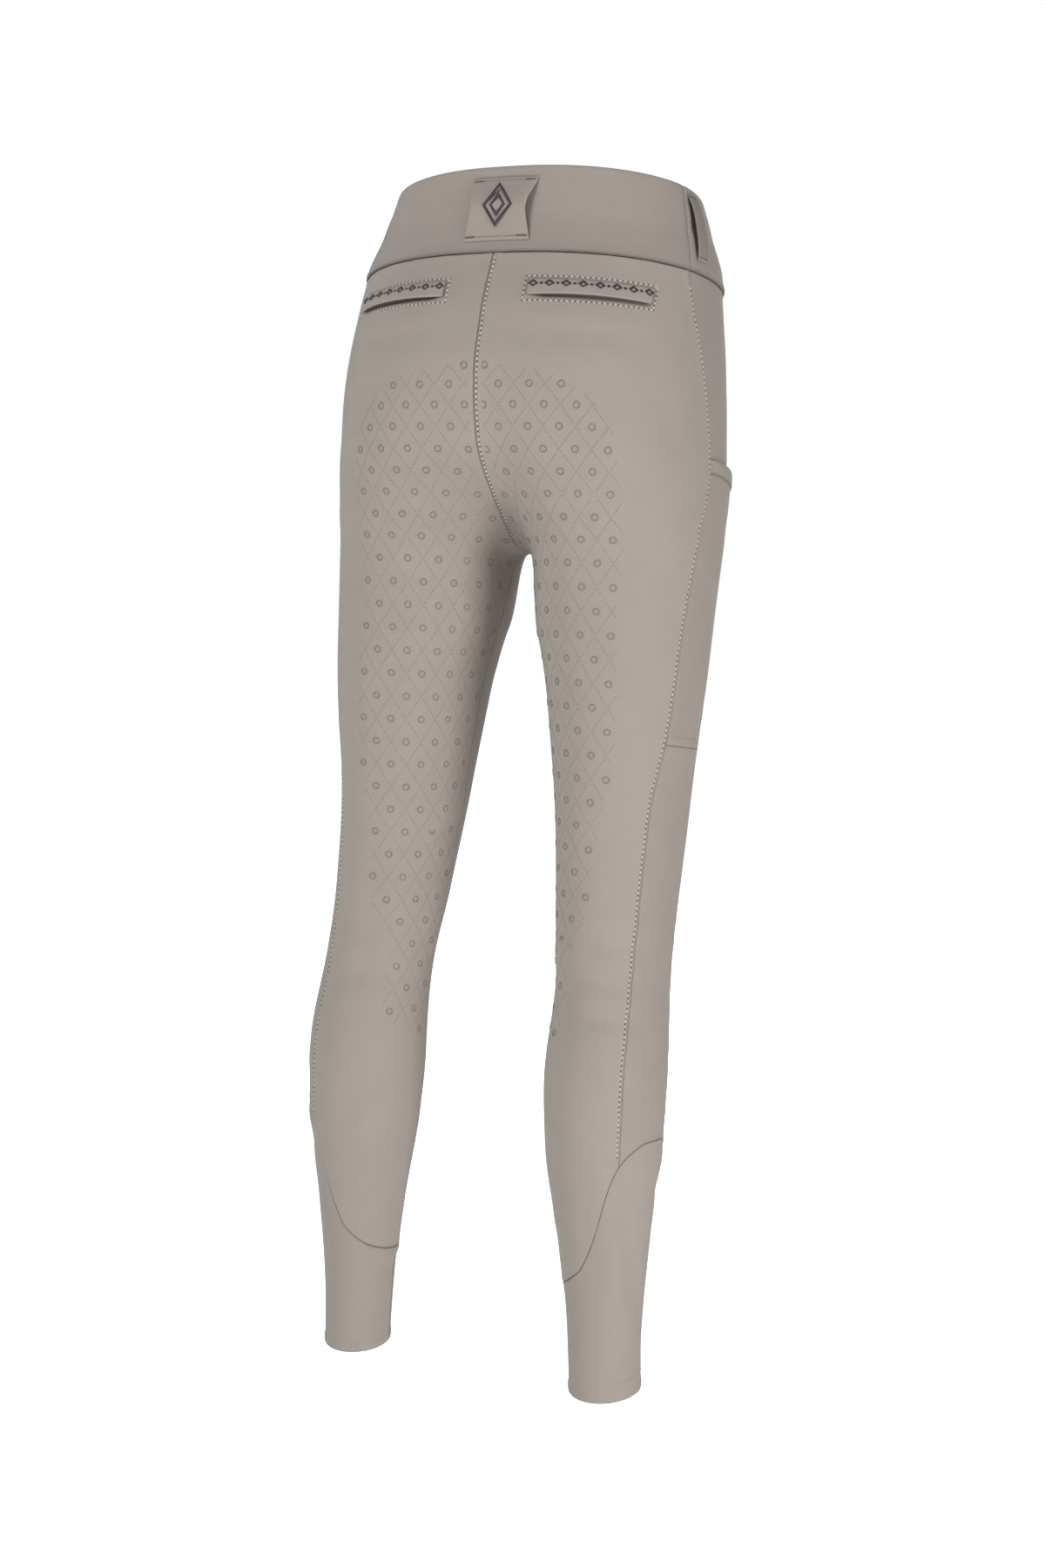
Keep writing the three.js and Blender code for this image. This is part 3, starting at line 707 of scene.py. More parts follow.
@dataclass(frozen=True)
class KnitCloth:
    """Warp-knitted polyamide and elastane, brushed and matt: close wales that hardly show, a soft bloom."""

    name: str
    colour: str
    shade: str
    slot: str = "cloth"
    # Colour of the painted shade in seams, hollows and under edges
    deep: str = "#5C544E"
    wale_mm: float = 1.5
    course_mm: float = 1.1
    fuzz_mm: float = 10 / 9
    mottle_mm: float = 38.0
    streak_mm: tuple[float, float] = (42.0, 2.6)
    roughness: float = 0.86
    sheen: float = 0.12
    bump_mm: float = 0.05

    def material(self) -> bpy.types.Material:
        """The node material. Its pattern lies on the cloth's own UV map, in metres of cloth."""
        material, tree = new_material(self.name)
        cut = add_node(tree, "ShaderNodeUVMap", uv_map="cut").outputs["UV"]
        # The knit of about 0.5 mm is drawn coarser, as fine as it still shows
        wales, courses = (add_node(tree, "ShaderNodeTexWave", {
            "Vector": cut, "Scale": WAVE_PERIOD / (size * MM), "Distortion": distortion, "Detail": 1.0},
            wave_type="BANDS", bands_direction=direction, wave_profile="SIN")
            for size, distortion, direction in ((self.wale_mm, 0.6, "X"), (self.course_mm, 0.8, "Y")))
        loops = add_node(tree, "ShaderNodeMath", {
            0: wales.outputs["Fac"], 1: courses.outputs["Fac"]}, operation="MULTIPLY")
        fuzz = add_node(tree, "ShaderNodeTexNoise", {
            "Vector": cut, "Scale": 1 / (self.fuzz_mm * MM), "Detail": 3.0})
        relief = add_node(tree, "ShaderNodeMath", {
            0: fuzz.outputs["Fac"], 1: 0.55, 2: loops.outputs[0]}, operation="MULTIPLY_ADD")
        bump = add_node(tree, "ShaderNodeBump", {
            "Height": relief.outputs[0], "Strength": 1.0, "Distance": self.bump_mm * MM})
        mottle = add_node(tree, "ShaderNodeTexNoise", {
            "Vector": cut, "Scale": 1 / (self.mottle_mm * MM), "Detail": 4.0, "Roughness": 0.55})
        stretched = add_node(tree, "ShaderNodeMapping", {
            "Vector": cut, "Scale": (1 / (self.streak_mm[0] * MM), 1 / (self.streak_mm[1] * MM), 1.0)})
        streaks = add_node(tree, "ShaderNodeTexNoise", {
            "Vector": stretched.outputs["Vector"], "Scale": 1.0, "Detail": 3.0})
        blotches = add_node(tree, "ShaderNodeMath", {
            0: streaks.outputs["Fac"], 1: 0.8, 2: mottle.outputs["Fac"]}, operation="MULTIPLY_ADD")
        tone = add_node(tree, "ShaderNodeMath", {
            0: blotches.outputs[0], 1: 0.5, 2: relief.outputs[0]}, operation="MULTIPLY_ADD")
        ramp = add_node(tree, "ShaderNodeMapRange", {
            "Value": tone.outputs[0], "From Min": 0.5, "From Max": 1.4, "To Min": 0.0, "To Max": 1.0})
        base = add_node(tree, "ShaderNodeMix", {
            0: ramp.outputs["Result"], 6: linear(self.shade), 7: linear(self.colour)}, data_type="RGBA")
        # Painted shade: a point attribute mixes the dark deep colour into the cloth where shade falls
        depth = add_node(tree, "ShaderNodeAttribute", attribute_name="painted_shade")
        shaded = add_node(tree, "ShaderNodeMix", {
            0: depth.outputs["Fac"], 6: base.outputs[2], 7: linear(self.deep)}, data_type="RGBA")
        shader = add_node(tree, "ShaderNodeBsdfPrincipled", {
            "Base Color": shaded.outputs[2], "Roughness": self.roughness, "Specular IOR Level": 0.3,
            "Sheen Weight": self.sheen, "Sheen Roughness": 0.45, "Normal": bump.outputs["Normal"]})
        add_node(tree, "ShaderNodeOutputMaterial", {"Surface": shader.outputs["BSDF"]})
        return material


@dataclass(frozen=True)
class RibTape:
    """Narrow knitted polyester tape: fine cross ribs and two raised edges, matt."""

    name: str
    colour: str
    shade: str
    slot: str = "tape"
    rib_mm: float = 1.3
    rib_depth_mm: float = 0.16

    def material(self) -> bpy.types.Material:
        """The node material, its ribs across the tape."""
        material, tree = new_material(self.name)
        cut = add_node(tree, "ShaderNodeUVMap", uv_map="cut").outputs["UV"]
        ribs = add_node(tree, "ShaderNodeTexWave", {
            "Vector": cut, "Scale": WAVE_PERIOD / (self.rib_mm * MM), "Distortion": 0.4},
            wave_type="BANDS", bands_direction="DIAGONAL", wave_profile="SIN")
        base = add_node(tree, "ShaderNodeMix", {
            0: ribs.outputs["Fac"], 6: linear(self.shade), 7: linear(self.colour)}, data_type="RGBA")
        bump = add_node(tree, "ShaderNodeBump", {
            "Height": ribs.outputs["Fac"], "Strength": 1.0, "Distance": self.rib_depth_mm * MM})
        shader = add_node(tree, "ShaderNodeBsdfPrincipled", {
            "Base Color": base.outputs[2], "Roughness": 0.88, "Specular IOR Level": 0.3,
            "Normal": bump.outputs["Normal"]})
        add_node(tree, "ShaderNodeOutputMaterial", {"Surface": shader.outputs["BSDF"]})
        return material


@dataclass(frozen=True)
class SmallFinish:
    """Sewing thread, cured silicone or plastisol print: one colour with a fine grain over it."""

    name: str
    colour: str
    shade: str
    roughness: float
    grain_mm: float
    ior: float = 1.45
    grain_depth_mm: float = 0.05

    def material(self) -> bpy.types.Material:
        """The node material, its grain in object space."""
        material, tree = new_material(self.name)
        place = add_node(tree, "ShaderNodeTexCoord").outputs["Object"]
        grain = add_node(tree, "ShaderNodeTexNoise", {
            "Vector": place, "Scale": 1 / (self.grain_mm * MM), "Detail": 2.0})
        base = add_node(tree, "ShaderNodeMix", {
            0: grain.outputs["Fac"], 6: linear(self.shade), 7: linear(self.colour)}, data_type="RGBA")
        bump = add_node(tree, "ShaderNodeBump", {
            "Height": grain.outputs["Fac"], "Strength": 0.6, "Distance": self.grain_depth_mm * MM})
        shader = add_node(tree, "ShaderNodeBsdfPrincipled", {
            "Base Color": base.outputs[2], "Roughness": self.roughness, "IOR": self.ior,
            "Normal": bump.outputs["Normal"]})
        add_node(tree, "ShaderNodeOutputMaterial", {"Surface": shader.outputs["BSDF"]})
        return material


SEAT_CLOTH = KnitCloth("brushed stretch knit, seat and legs", "#A69E97", "#9A928A")
SIDE_CLOTH = KnitCloth("brushed stretch knit, side panels", "#A19891", "#958D85")
BAND_CLOTH = KnitCloth("brushed stretch knit, waistband", "#A49B94", "#988F88")
CUFF_JERSEY = KnitCloth("light stretch jersey, cuffs", "#A59C95", "#999089", "stretch_cloth", wale_mm=1.2,
                        sheen=0.08)
TAPE = RibTape("knitted polyester tape", "#A0978F", "#857C74")
THREAD = SmallFinish("spun polyester thread", "#DAD4CC", "#C6BFB6", 0.7, 0.6)
HEM_THREAD = SmallFinish("spun polyester thread, in the cloth's colour", "#A8A098", "#9A928A", 0.75, 0.6)
# Dark dots at the needle holes: painted shade of the holes
NEEDLE_HOLE = SmallFinish("cloth in the shade of a needle hole", "#6E655D", "#645B54", 0.9, 0.4)
SEAM_THREAD = SmallFinish("spun polyester thread, sunk in the waist seam", "#6F665F", "#5A524C", 0.75, 0.6)
GRIP_LINE = SmallFinish("cured silicone print in fine dots", "#938A82", "#8C837B", 0.45, 2.0, 1.42)
GRIP = SmallFinish("cured silicone print, tone on tone", "#8B827A", "#837A72", 0.4, 2.0, 1.42)
INK = SmallFinish("raised plastisol print, charcoal", "#403840", "#332C33", 0.55, 1.2, 1.5)


def link(name: str, data: bpy.types.ID) -> bpy.types.Object:
    """A new object with this data, linked into the scene."""
    thing = bpy.data.objects.new(name, data)
    bpy.context.scene.collection.objects.link(thing)
    return thing


class Workshop:
    """Makes the finished objects and keeps the finishes' materials."""

    def __init__(self) -> None:
        """Starts with no materials made."""
        self.materials: dict[str, bpy.types.Material] = {}

    def finished(self, name: str, mesh: bpy.types.Mesh,
                 finish: KnitCloth | RibTape | SmallFinish) -> bpy.types.Object:
        """A piece in its finish, on the part's one body."""
        mesh.shade_smooth()
        if finish.name not in self.materials:
            self.materials[finish.name] = finish.material()
        mesh.materials.append(self.materials[finish.name])
        piece = link(name, mesh)
        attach(piece, "root")
        return piece

    def sheet(self, node: str, patch: Patch, lift: np.ndarray | float, finish: KnitCloth | RibTape,
              flat: tuple[float, float], thickness: float = 0.0, painted_shade: np.ndarray | None = None,
              area: float | None = None) -> bpy.types.Object:
        """A sheet of cloth on a patch, raised by lift and thickened inwards.

        Args:
            node: the node that it stands for.
            patch: its places on the form.
            lift: millimetres above the form at each place.
            finish: its cloth.
            flat: width and depth of its cut, in millimetres.
            thickness: millimetres of cloth, 0 for a sheet that is closed already.
            painted_shade: share of the dark deep colour at each place, painted shade for seams, hollows and
                edges.
            area: square millimetres of its cut, where it is no rectangle; not used.

        Returns:
            The piece.
        """
        name = f"{node}_tape" if isinstance(finish, RibTape) else f"{node}_cloth"
        rows, columns = patch.angle.shape
        height = FORM.fold_height(patch.side, patch.angle, patch.drop) + lift
        points = (patch.point + patch.normal * height[..., None]) * MM
        bm = bmesh.new()
        bmesh.ops.create_grid(bm, x_segments=columns - 1, y_segments=rows - 1, size=0.5)
        mesh = bpy.data.meshes.new(name)
        bm.to_mesh(mesh)
        bm.free()
        square = np.empty(len(mesh.vertices) * 3)
        mesh.vertices.foreach_get("co", square)
        square = square.reshape(-1, 3)
        column = np.rint((square[:, 0] + 0.5) * (columns - 1)).astype(int)
        row = np.rint((0.5 - square[:, 1]) * (rows - 1)).astype(int)
        mesh.vertices.foreach_set("co", points[row, column].ravel())
        cut = np.stack([patch.from_first, -patch.from_top], -1) * MM
        corner = np.empty(len(mesh.loops), int)
        mesh.loops.foreach_get("vertex_index", corner)
        layer = mesh.uv_layers.new(name="cut")
        layer.data.foreach_set("uv", cut[row, column][corner].ravel())
        # The painted shade, kept as a point attribute for the material
        worn = mesh.attributes.new("painted_shade", "FLOAT", "POINT")
        painted_shade = np.zeros((rows, columns)) if painted_shade is None else painted_shade
        worn.data.foreach_set("value", painted_shade[row, column].ravel())
        mesh.update()
        facing = np.empty(len(mesh.polygons) * 3)
        mesh.polygons.foreach_get("normal", facing)
        first = np.array([mesh.polygons[i].vertices[0] for i in range(len(mesh.polygons))])
        outward = patch.normal[row[first], column[first]]
        if (facing.reshape(-1, 3) * outward).sum() < 0:
            mesh.flip_normals()
        piece = self.finished(name, mesh, finish)
        if thickness:
            solid = piece.modifiers.new("cloth", "SOLIDIFY")
            solid.thickness = thickness * MM
            solid.offset = -1.0
            solid.use_rim = True
        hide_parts(node)
        log.info("%s: cut %.1f by %.1f mm", name, *flat)
        return piece

    def scatter(self, name: str, unit: bmesh.types.BMesh, places: np.ndarray, axes: np.ndarray,
                finish: SmallFinish) -> None:
        """Makes one mesh with a copy of a small shape at each place.

        Args:
            name: the piece's name.
            unit: the shape, in millimetres, freed afterwards.
            places: N points in millimetres.
            axes: N frames of three columns, the shape's X, Y and Z.
            finish: its finish.
        """
        shape = bpy.data.meshes.new(name + "_unit")
        bmesh.ops.triangulate(unit, faces=unit.faces[:])
        unit.to_mesh(shape)
        unit.free()
        corners = np.array([v.co for v in shape.vertices], float)
        faces = np.array([p.vertices[:] for p in shape.polygons], int)
        bpy.data.meshes.remove(shape)
        points = (np.einsum("nij,vj->nvi", axes, corners) + places[:, None]).reshape(-1, 3) * MM
        loops = (faces[None] + (np.arange(len(places)) * len(corners))[:, None, None]).reshape(-1)
        mesh = bpy.data.meshes.new(name)
        mesh.vertices.add(len(points))
        mesh.vertices.foreach_set("co", points.ravel())
        mesh.loops.add(len(loops))
        mesh.loops.foreach_set("vertex_index", loops)
        mesh.polygons.add(len(loops) // 3)
        mesh.polygons.foreach_set("loop_start", np.arange(0, len(loops), 3))
        mesh.update(calc_edges=True)
        log.info("%s: %d", name, len(places))
        self.finished(name, mesh, finish)


def frames_along(tangent: np.ndarray, normal: np.ndarray) -> np.ndarray:
    """Frames with X along a line and Z out of the cloth.

    Args:
        tangent: N directions along the line.
        normal: N outward normals.

    Returns:
        N matrices whose columns are X, Y and Z.
    """
    z = normal / np.linalg.norm(normal, axis=-1, keepdims=True)
    x = tangent - z * (tangent * z).sum(-1, keepdims=True)
    x /= np.linalg.norm(x, axis=-1, keepdims=True)
    return np.stack([x, np.cross(z, x), z], -1)


@dataclass
class Sewing:
    """Rows of lockstitch, in millimetres, each stitch a short rounded bar of thread pressed into the cloth.

    The real stitches are 2.6 mm apart. They are drawn longer and thicker, with shaded needle holes between
    them, so that they show one by one.
    """

    pitch: float = 3.9
    length: float = 2.3
    width: float = 1.15
    height: float = 0.95
    hole_radius: float = 0.75
    hole_height: float = 0.3
    hole_sunk: float = 0.05
    reach: float = 0.8
    places: list[tuple[np.ndarray, np.ndarray]] = field(default_factory=list)
    holes: list[tuple[np.ndarray, np.ndarray]] = field(default_factory=list)

    def row(self, side: Side, angle: np.ndarray, drop: np.ndarray, lift: np.ndarray | float = 0.0,
            pitch: float | None = None) -> None:
        """Sews along a line on the form.

        Args:
            side: the wearer's side.
            angle: the line's angles.
            drop: its drops.
            lift: millimetres of the stitches' middle above the form.
            pitch: distance from stitch to stitch, the usual one if None.
        """
        angle, drop = np.broadcast_arrays(np.asarray(angle, float), np.asarray(drop, float))
        lift = np.broadcast_to(lift, angle.shape)
        points, normals = FORM.surface(side, angle, drop, lift)
        self.path(points, normals, pitch)

    def path(self, points: np.ndarray, normals: np.ndarray, pitch: float | None = None) -> None:
        """Sews along a line of points with their normals."""
        reached = lengths_along(points)
        count = max(int(reached[-1] / (pitch or self.pitch)), 1)
        spacing = reached[-1] / count
        for kept, first in ((self.places, 0.5), (self.holes, 1.0)):
            at = (np.arange(count) + first) * spacing
            place, ahead, behind = (on_line(at + shift, reached, points)
                                    for shift in (0, self.reach, -self.reach))
            kept.append((place, frames_along(ahead - behind, on_line(at, reached, normals))))

    def make(self, shop: Workshop, name: str, finish: SmallFinish) -> None:
        """Makes the sewing as one piece."""
        bm = bmesh.new()
        bmesh.ops.create_uvsphere(bm, u_segments=6, v_segments=5, radius=0.5)
        bmesh.ops.rotate(bm, verts=bm.verts[:], matrix=Matrix.Rotation(math.pi / 2, 3, "Y"))
        bmesh.ops.scale(bm, verts=bm.verts[:], vec=(self.length, self.width, self.height))
        places, axes = (np.concatenate(parts) for parts in zip(*self.places))
        shop.scatter(name, bm, places, axes, finish)

    def make_holes(self, shop: Workshop, name: str, finish: SmallFinish) -> None:
        """Makes the needle holes as one piece."""
        places, axes = (np.concatenate(parts) for parts in zip(*self.holes))
        hole = dome(self.hole_radius, self.hole_height, 8)
        shop.scatter(name, hole, places - axes[:, :, 2] * self.hole_sunk, axes, finish)


class Surround(Enum):
    """How a panel's edge is sewn."""

    PLAIN = 0
    TOPSTITCHED = 1
    FREE = 2


STITCH_FROM_SEAM = 2.3

# Depth and width of the roll into a seam and of that at a free edge, in millimetres
SEAM_ROLL = 0.95
FREE_ROLL = 0.35
ROLL_WIDTH = 0.8

# Height of the folded allowance under a topstitched edge and under a plain one
STITCHED_ALLOWANCE = 0.45
PLAIN_ALLOWANCE = 0.12


def edge_relief(distance: np.ndarray, edge: Surround) -> np.ndarray:
    """Height of the cloth beside an edge: it rolls into the seam, and swells over the folded allowance."""
    if edge is Surround.FREE:
        return -FREE_ROLL * bell(distance, 0, ROLL_WIDTH)
    roll = -SEAM_ROLL * bell(distance, 0, ROLL_WIDTH)
    if edge is Surround.TOPSTITCHED:
        allowance = STITCHED_ALLOWANCE * (1 - smooth_step(5.0, 8.0, distance))
        stitched = -0.35 * bell(distance, STITCH_FROM_SEAM, 0.7)
        return roll + allowance + stitched
    return roll + PLAIN_ALLOWANCE * (1 - smooth_step(2.0, 7.0, distance))


def turned_up(distance: np.ndarray, height: float) -> np.ndarray:
    """1 where a hem is turned up from its edge to a height, and 0 past it."""
    return 1 - smooth_step(height - 0.3, height + 1.0, distance)


def puckers(distance: np.ndarray, down: np.ndarray, seed: float) -> np.ndarray:
    """The small unevenness that a sewn seam draws into the cloth beside it."""
    wave = np.sin(down / 4.1 + seed) + 0.7 * np.sin(down / 2.6 + 2.3 * seed + 1.1)
    return 0.09 * wave * np.exp(-((distance - 3.5) / 4.5) ** 2)


@dataclass
class LegHalf:
    """One leg with its half of the seat: the back, front and side panels, the thigh pocket and the cuff."""

    side: Side
    shop: Workshop
    sewing: Sewing
    hem_sewing: Sewing
    cloth: float = CLOTH
    pocket_cloth: float = 1.1
    pocket_sink: float = 1.5
    pocket_fall: float = 9.0
    pocket_foot_fall: float = 5.5
    pocket_foot_below: float = 2.5
    pocket_hem_height: float = 10.5
    pocket_hem_extra: float = 1.2
    pocket_bow: float = 1.9
    pocket_lift_flat: float = 0.15
    pocket_foot_row: float = 6.5
    pocket_sewn_height: float = 8.3
    cuff_sunk: float = 0.7
    cuff_seam_shade: float = 1.05
    cuff_sewn_height: float = 6.4
    stretch: float = 1.08
    centre_snap: float = 0.4
    mouth_depth: float = 1.8
    stitch_lift: float = 0.35
    row_above_cuff: float = 2.0
    row_above_crotch: float = 1.5

    # Drops between which the side seam and the upper part of the centre-back seam are topstitched
    side_row: tuple[float, float] = (86.0, 738.0)
    centre_row: tuple[float, float] = (70.0, 270.0)

    # About how deep each zone of rows is, in millimetres, which sets how many rows it has
    seat_depth: float = 225.0
    side_depth: float = 215.0
    calf_depth: float = 140.0
    side_calf_depth: float = 60.0
    pocket_depth: float = 210.0
    cuff_depth: float = 150.0

    def leg_zones(self) -> list[Zone]:
        """Rows of a panel that runs from the waistband to the cuff."""
        crotch, knee_end = level(FORM.crotch), level(KNEE_END_DROP)
        thigh = KNEE_END_DROP - FORM.crotch
        return [Zone(band_seam_drop, crotch, spaced(self.seat_depth, SEAM_STEPS, CROTCH_STEPS)[:-1]),
                Zone(crotch, knee_end, spaced(thigh, CROTCH_STEPS)[:-1]),
                Zone(knee_end, cuff_edge, spaced(self.calf_depth, (0.0,), SEAM_STEPS))]

    def side_zones(self) -> tuple[list[Zone], list[Zone]]:
        """Rows of the side panel above and below the seam at the pocket's foot."""
        crotch, knee_end = level(FORM.crotch), level(KNEE_END_DROP)
        above, below = POCKET_FOOT_DROP - FORM.crotch, KNEE_END_DROP - POCKET_FOOT_DROP
        upper = [Zone(band_seam_drop, crotch, spaced(self.side_depth, SEAM_STEPS)[:-1]),
                 Zone(crotch, self.pocket_foot, spaced(above, (0.0,), SEAM_STEPS))]
        lower = [Zone(self.pocket_foot, knee_end, spaced(below, SEAM_STEPS)[:-1]),
                 Zone(knee_end, cuff_edge, spaced(self.side_calf_depth, (0.0,), SEAM_STEPS))]
        return upper, lower

    def panel(self, name: str, zones: Sequence[Zone], first: Curve, last: Curve, finish: KnitCloth,
              edges: tuple[Surround, Surround], to_centre: bool, seed: int) -> None:
        """Makes one cut piece of cloth, rolled into its seams.

        Args:
            name: the node that it stands for, without its side.
            zones: its rows.
            first: angle of its first edge.
            last: angle of its last edge.
            finish: its cloth.
            edges: how its first and last edges are sewn.
            to_centre: whether its last edge lies in the centre plane.
            seed: what sets the unevenness of its seams.
        """
        patch = lay_out(self.side, zones, first, last, even_columns(), to_centre)
        lift = edge_relief(patch.from_first, edges[0]) + edge_relief(patch.from_last, edges[1])
        lift += edge_relief(patch.from_top, Surround.PLAIN) + edge_relief(patch.from_foot, Surround.PLAIN)
        lift += puckers(patch.from_first, patch.from_top, seed)
        lift += puckers(patch.from_last, patch.from_top, seed + 2)
        lift += puckers(patch.from_top, patch.from_first, seed + 4)
        lift += self.extra_relief(name, patch)
        nearest = np.minimum(patch.from_sides, np.minimum(patch.from_top, patch.from_foot))
        # Painted shade: darker in the seams, at the cuff seam, in the back pocket's mouth and in the
        # topstitching's dip, where shade falls
        seams = 0.55 * bell(nearest, 0, 0.5)
        cuff_seam = 0.9 * bell(patch.from_foot, 0, self.cuff_seam_shade)
        painted_shade = np.maximum(np.maximum(seams, cuff_seam), self.mouth(name, patch))
        for distance, edge in ((patch.from_first, edges[0]), (patch.from_last, edges[1])):
            if edge is Surround.TOPSTITCHED:
                painted_shade = np.maximum(painted_shade, 0.15 * bell(distance, STITCH_FROM_SEAM, 0.75))
        self.close_at_centre(self.sheet(name, patch, lift, finish, self.cloth, painted_shade))

    def sheet(self, name: str, patch: Patch, lift: np.ndarray, finish: KnitCloth, thickness: float,
              painted_shade: np.ndarray) -> bpy.types.Object:
        """A piece of the leg with the size it is cut to before it is stretched on."""
        widths = (patch.from_first + patch.from_last)[:, 0]
        depth = (patch.from_top + patch.from_foot)[0]
        steps = np.diff(patch.from_top, axis=0)
        area = (steps * (widths[1:, None] / patch.angle.shape[1])).sum()
        flat = (widths.max() / self.stretch, depth.max())
        return self.shop.sheet(f"{name}_{self.side.word}", patch, lift, finish, flat, thickness, painted_shade,
                               area / self.stretch)

    def mouth(self, name: str, patch: Patch) -> np.ndarray:
        """How near each place of the back panel is to its pocket's mouth, under the welt, from 0 to 1; it
        sinks the panel there and sets its painted shadow.
        """
        if name != "back":
            return np.zeros_like(patch.angle)
        start, end = WELT_FROM_CENTRE, WELT_FROM_CENTRE + WELT_LENGTH
        along = smooth_step(start - 0.5, start + 14, patch.from_last)
        along = along * (1 - smooth_step(end - 6, end + 0.5, patch.from_last))
        share = (patch.drop - band_seam_drop(patch.angle)) / (FORM.crotch - band_seam_drop(patch.angle))
        below = (share - WELT_FOOT_SHARE) * self.seat_depth
        return along * smooth_step(-3, -1, below) * (1 - smooth_step(0.6, 2.6, below))

    def extra_relief(self, name: str, patch: Patch) -> np.ndarray:
        """The side panel's dip behind the thigh pocket and its edge below it, or the back pocket's mouth."""
        if name == "side_upper":
            opening = seat_level(POCKET_OPENING_SHARE)(patch.angle)
            return -self.pocket_sink * smooth_step(-2, 8, patch.drop - opening)
        if name == "side_lower":
            return 0.4 * (1 - smooth_step(5.0, 8.0, patch.from_top))
        return -self.mouth_depth * self.mouth(name, patch)

    def close_at_centre(self, piece: bpy.types.Object) -> None:
        """Moves what lies past the centre plane, or close to it, into it, to meet the other side's panel."""
        mesh = piece.data
        points = np.empty(len(mesh.vertices) * 3)
        mesh.vertices.foreach_get("co", points)
        points = points.reshape(-1, 3)
        out = self.side.value * points[:, 0]
        points[:, 0] = self.side.value * np.where(out < self.centre_snap * MM, 0, out)
        mesh.vertices.foreach_set("co", points.ravel())
        mesh.update()

    def build(self) -> None:
        """Makes the panels, the pocket and the cuff with their sewing."""
        back, front = SEAM_CURVES["back"], SEAM_CURVES["front"]
        upper, lower = self.side_zones()
        plain = (Surround.PLAIN, Surround.PLAIN)
        at_centre = Surround.TOPSTITCHED if self.side is Side.RIGHT else Surround.PLAIN
        sewn = (Surround.TOPSTITCHED, at_centre)
        cuts = (
            ("back", self.leg_zones(), back, centre_back, SEAT_CLOTH, sewn, True),
            ("front", self.leg_zones(), front, centre_front, SEAT_CLOTH, plain, True),
            ("side_upper", upper, back, front, SIDE_CLOTH, plain, False),
            ("side_lower", lower, back, front, SIDE_CLOTH, plain, False),
        )
        for seed, cut in enumerate(cuts, 1):
            self.panel(*cut, seed)
        self.pocket()
        self.cuff()
        self.sew()

    def pocket_foot(self, angle: np.ndarray) -> np.ndarray:
        """Level of the seam at the pocket's foot, which falls towards the front."""
        back, front = (SEAM_CURVES[name](POCKET_FOOT_DROP) for name in ("back", "front"))
        fall = self.pocket_foot_fall * (angle - back) / (front - back)
        return POCKET_FOOT_DROP + self.pocket_foot_below + fall

    def pocket_opening(self, angle: np.ndarray) -> np.ndarray:
        """Level of the pocket's opening, which falls towards the front."""
        back, front = (SEAM_CURVES[name](POCKET_OPENING_DROP) for name in ("back", "front"))
        across = (angle - back) / (front - back)
        return seat_level(POCKET_OPENING_SHARE)(angle) + self.pocket_fall * (0.35 + across)

    def pocket_lift(self, patch: Patch) -> np.ndarray:
        """Height of the pocket's outer face: its hem stands open, its sides and foot are sewn down."""
        openness = bell(patch.along, 0, 0.13) * np.sin(np.pi * patch.across)
        hem = turned_up(patch.from_top, self.pocket_hem_height)
        inward = smooth_step(0.0, 9.0, patch.from_sides)
        fullness = 0.9 * bell(patch.from_top, 0, 26)
        stitched = 0.4 * bell(patch.from_top, self.pocket_sewn_height, 0.8)
        foot_row = self.pocket_foot_row
        allowance = 0.45 * (1 - smooth_step(foot_row, foot_row + 1.5, patch.from_foot))
        sewn_down = 0.9 * bell(np.minimum(patch.from_sides, patch.from_foot), 0, 0.9)
        lift = self.pocket_lift_flat + self.pocket_bow * openness + self.pocket_hem_extra * hem * inward
        lift += fullness * inward
        lift -= stitched
        lift += allowance
        lift += edge_relief(patch.from_top, Surround.FREE)
        return lift - sewn_down

    def pocket(self) -> None:
        """The phone pocket, laid on the side panel."""
        hem_steps = (0.0, 0.5, 1.2, 2.4, 4.6, 6.6, 7.6, 8.3, 9.1, 10.0, 10.8, 11.8, 13.2, 15.0)
        foot_steps = (0.05, 0.5, 1.0, 1.6, 2.6, 4.2, 5.8, 6.6, 7.4, 8.4, 10.5)
        rows = spaced(self.pocket_depth, hem_steps, foot_steps)
        zones = [Zone(self.pocket_opening, self.pocket_foot, rows)]
        patch = lay_out(self.side, zones, SEAM_CURVES["back"], SEAM_CURVES["front"], even_columns())
        lift = self.pocket_lift(patch)
        # Painted shade along the sewn sides and foot and under the fold of the hem, where shade falls
        sewn_down = 0.75 * bell(np.minimum(patch.from_sides, patch.from_foot), 0, 0.55)
        hem_painted_shade = 0.8 * bell(patch.from_top, self.pocket_hem_height + 0.5, 0.8)
        self.sheet("pocket", patch, lift, SIDE_CLOTH, self.pocket_cloth, np.maximum(sewn_down, hem_painted_shade))
        self.sew_hem(patch, lift, patch.from_top, self.pocket_sewn_height, inset=4)
        self.sew_hem(patch, lift, patch.from_foot, self.pocket_foot_row, inset=4)

    def sew_hem(self, patch: Patch, lift: np.ndarray, distance: np.ndarray, at: float, inset: int) -> None:
        """Sews along the row of a patch that is nearest to a distance from its edge.

        Args:
            patch: the piece's places.
            lift: its height above the form.
            distance: each place's distance from the edge.
            at: the stitches' distance from it.
            inset: columns left out at each end.
        """
        row = int(np.abs(distance[:, 5] - at).argmin())
        inner = slice(inset, -inset)
        self.hem_sewing.row(self.side, patch.angle[row, inner], patch.drop[row, inner], lift[row, inner])

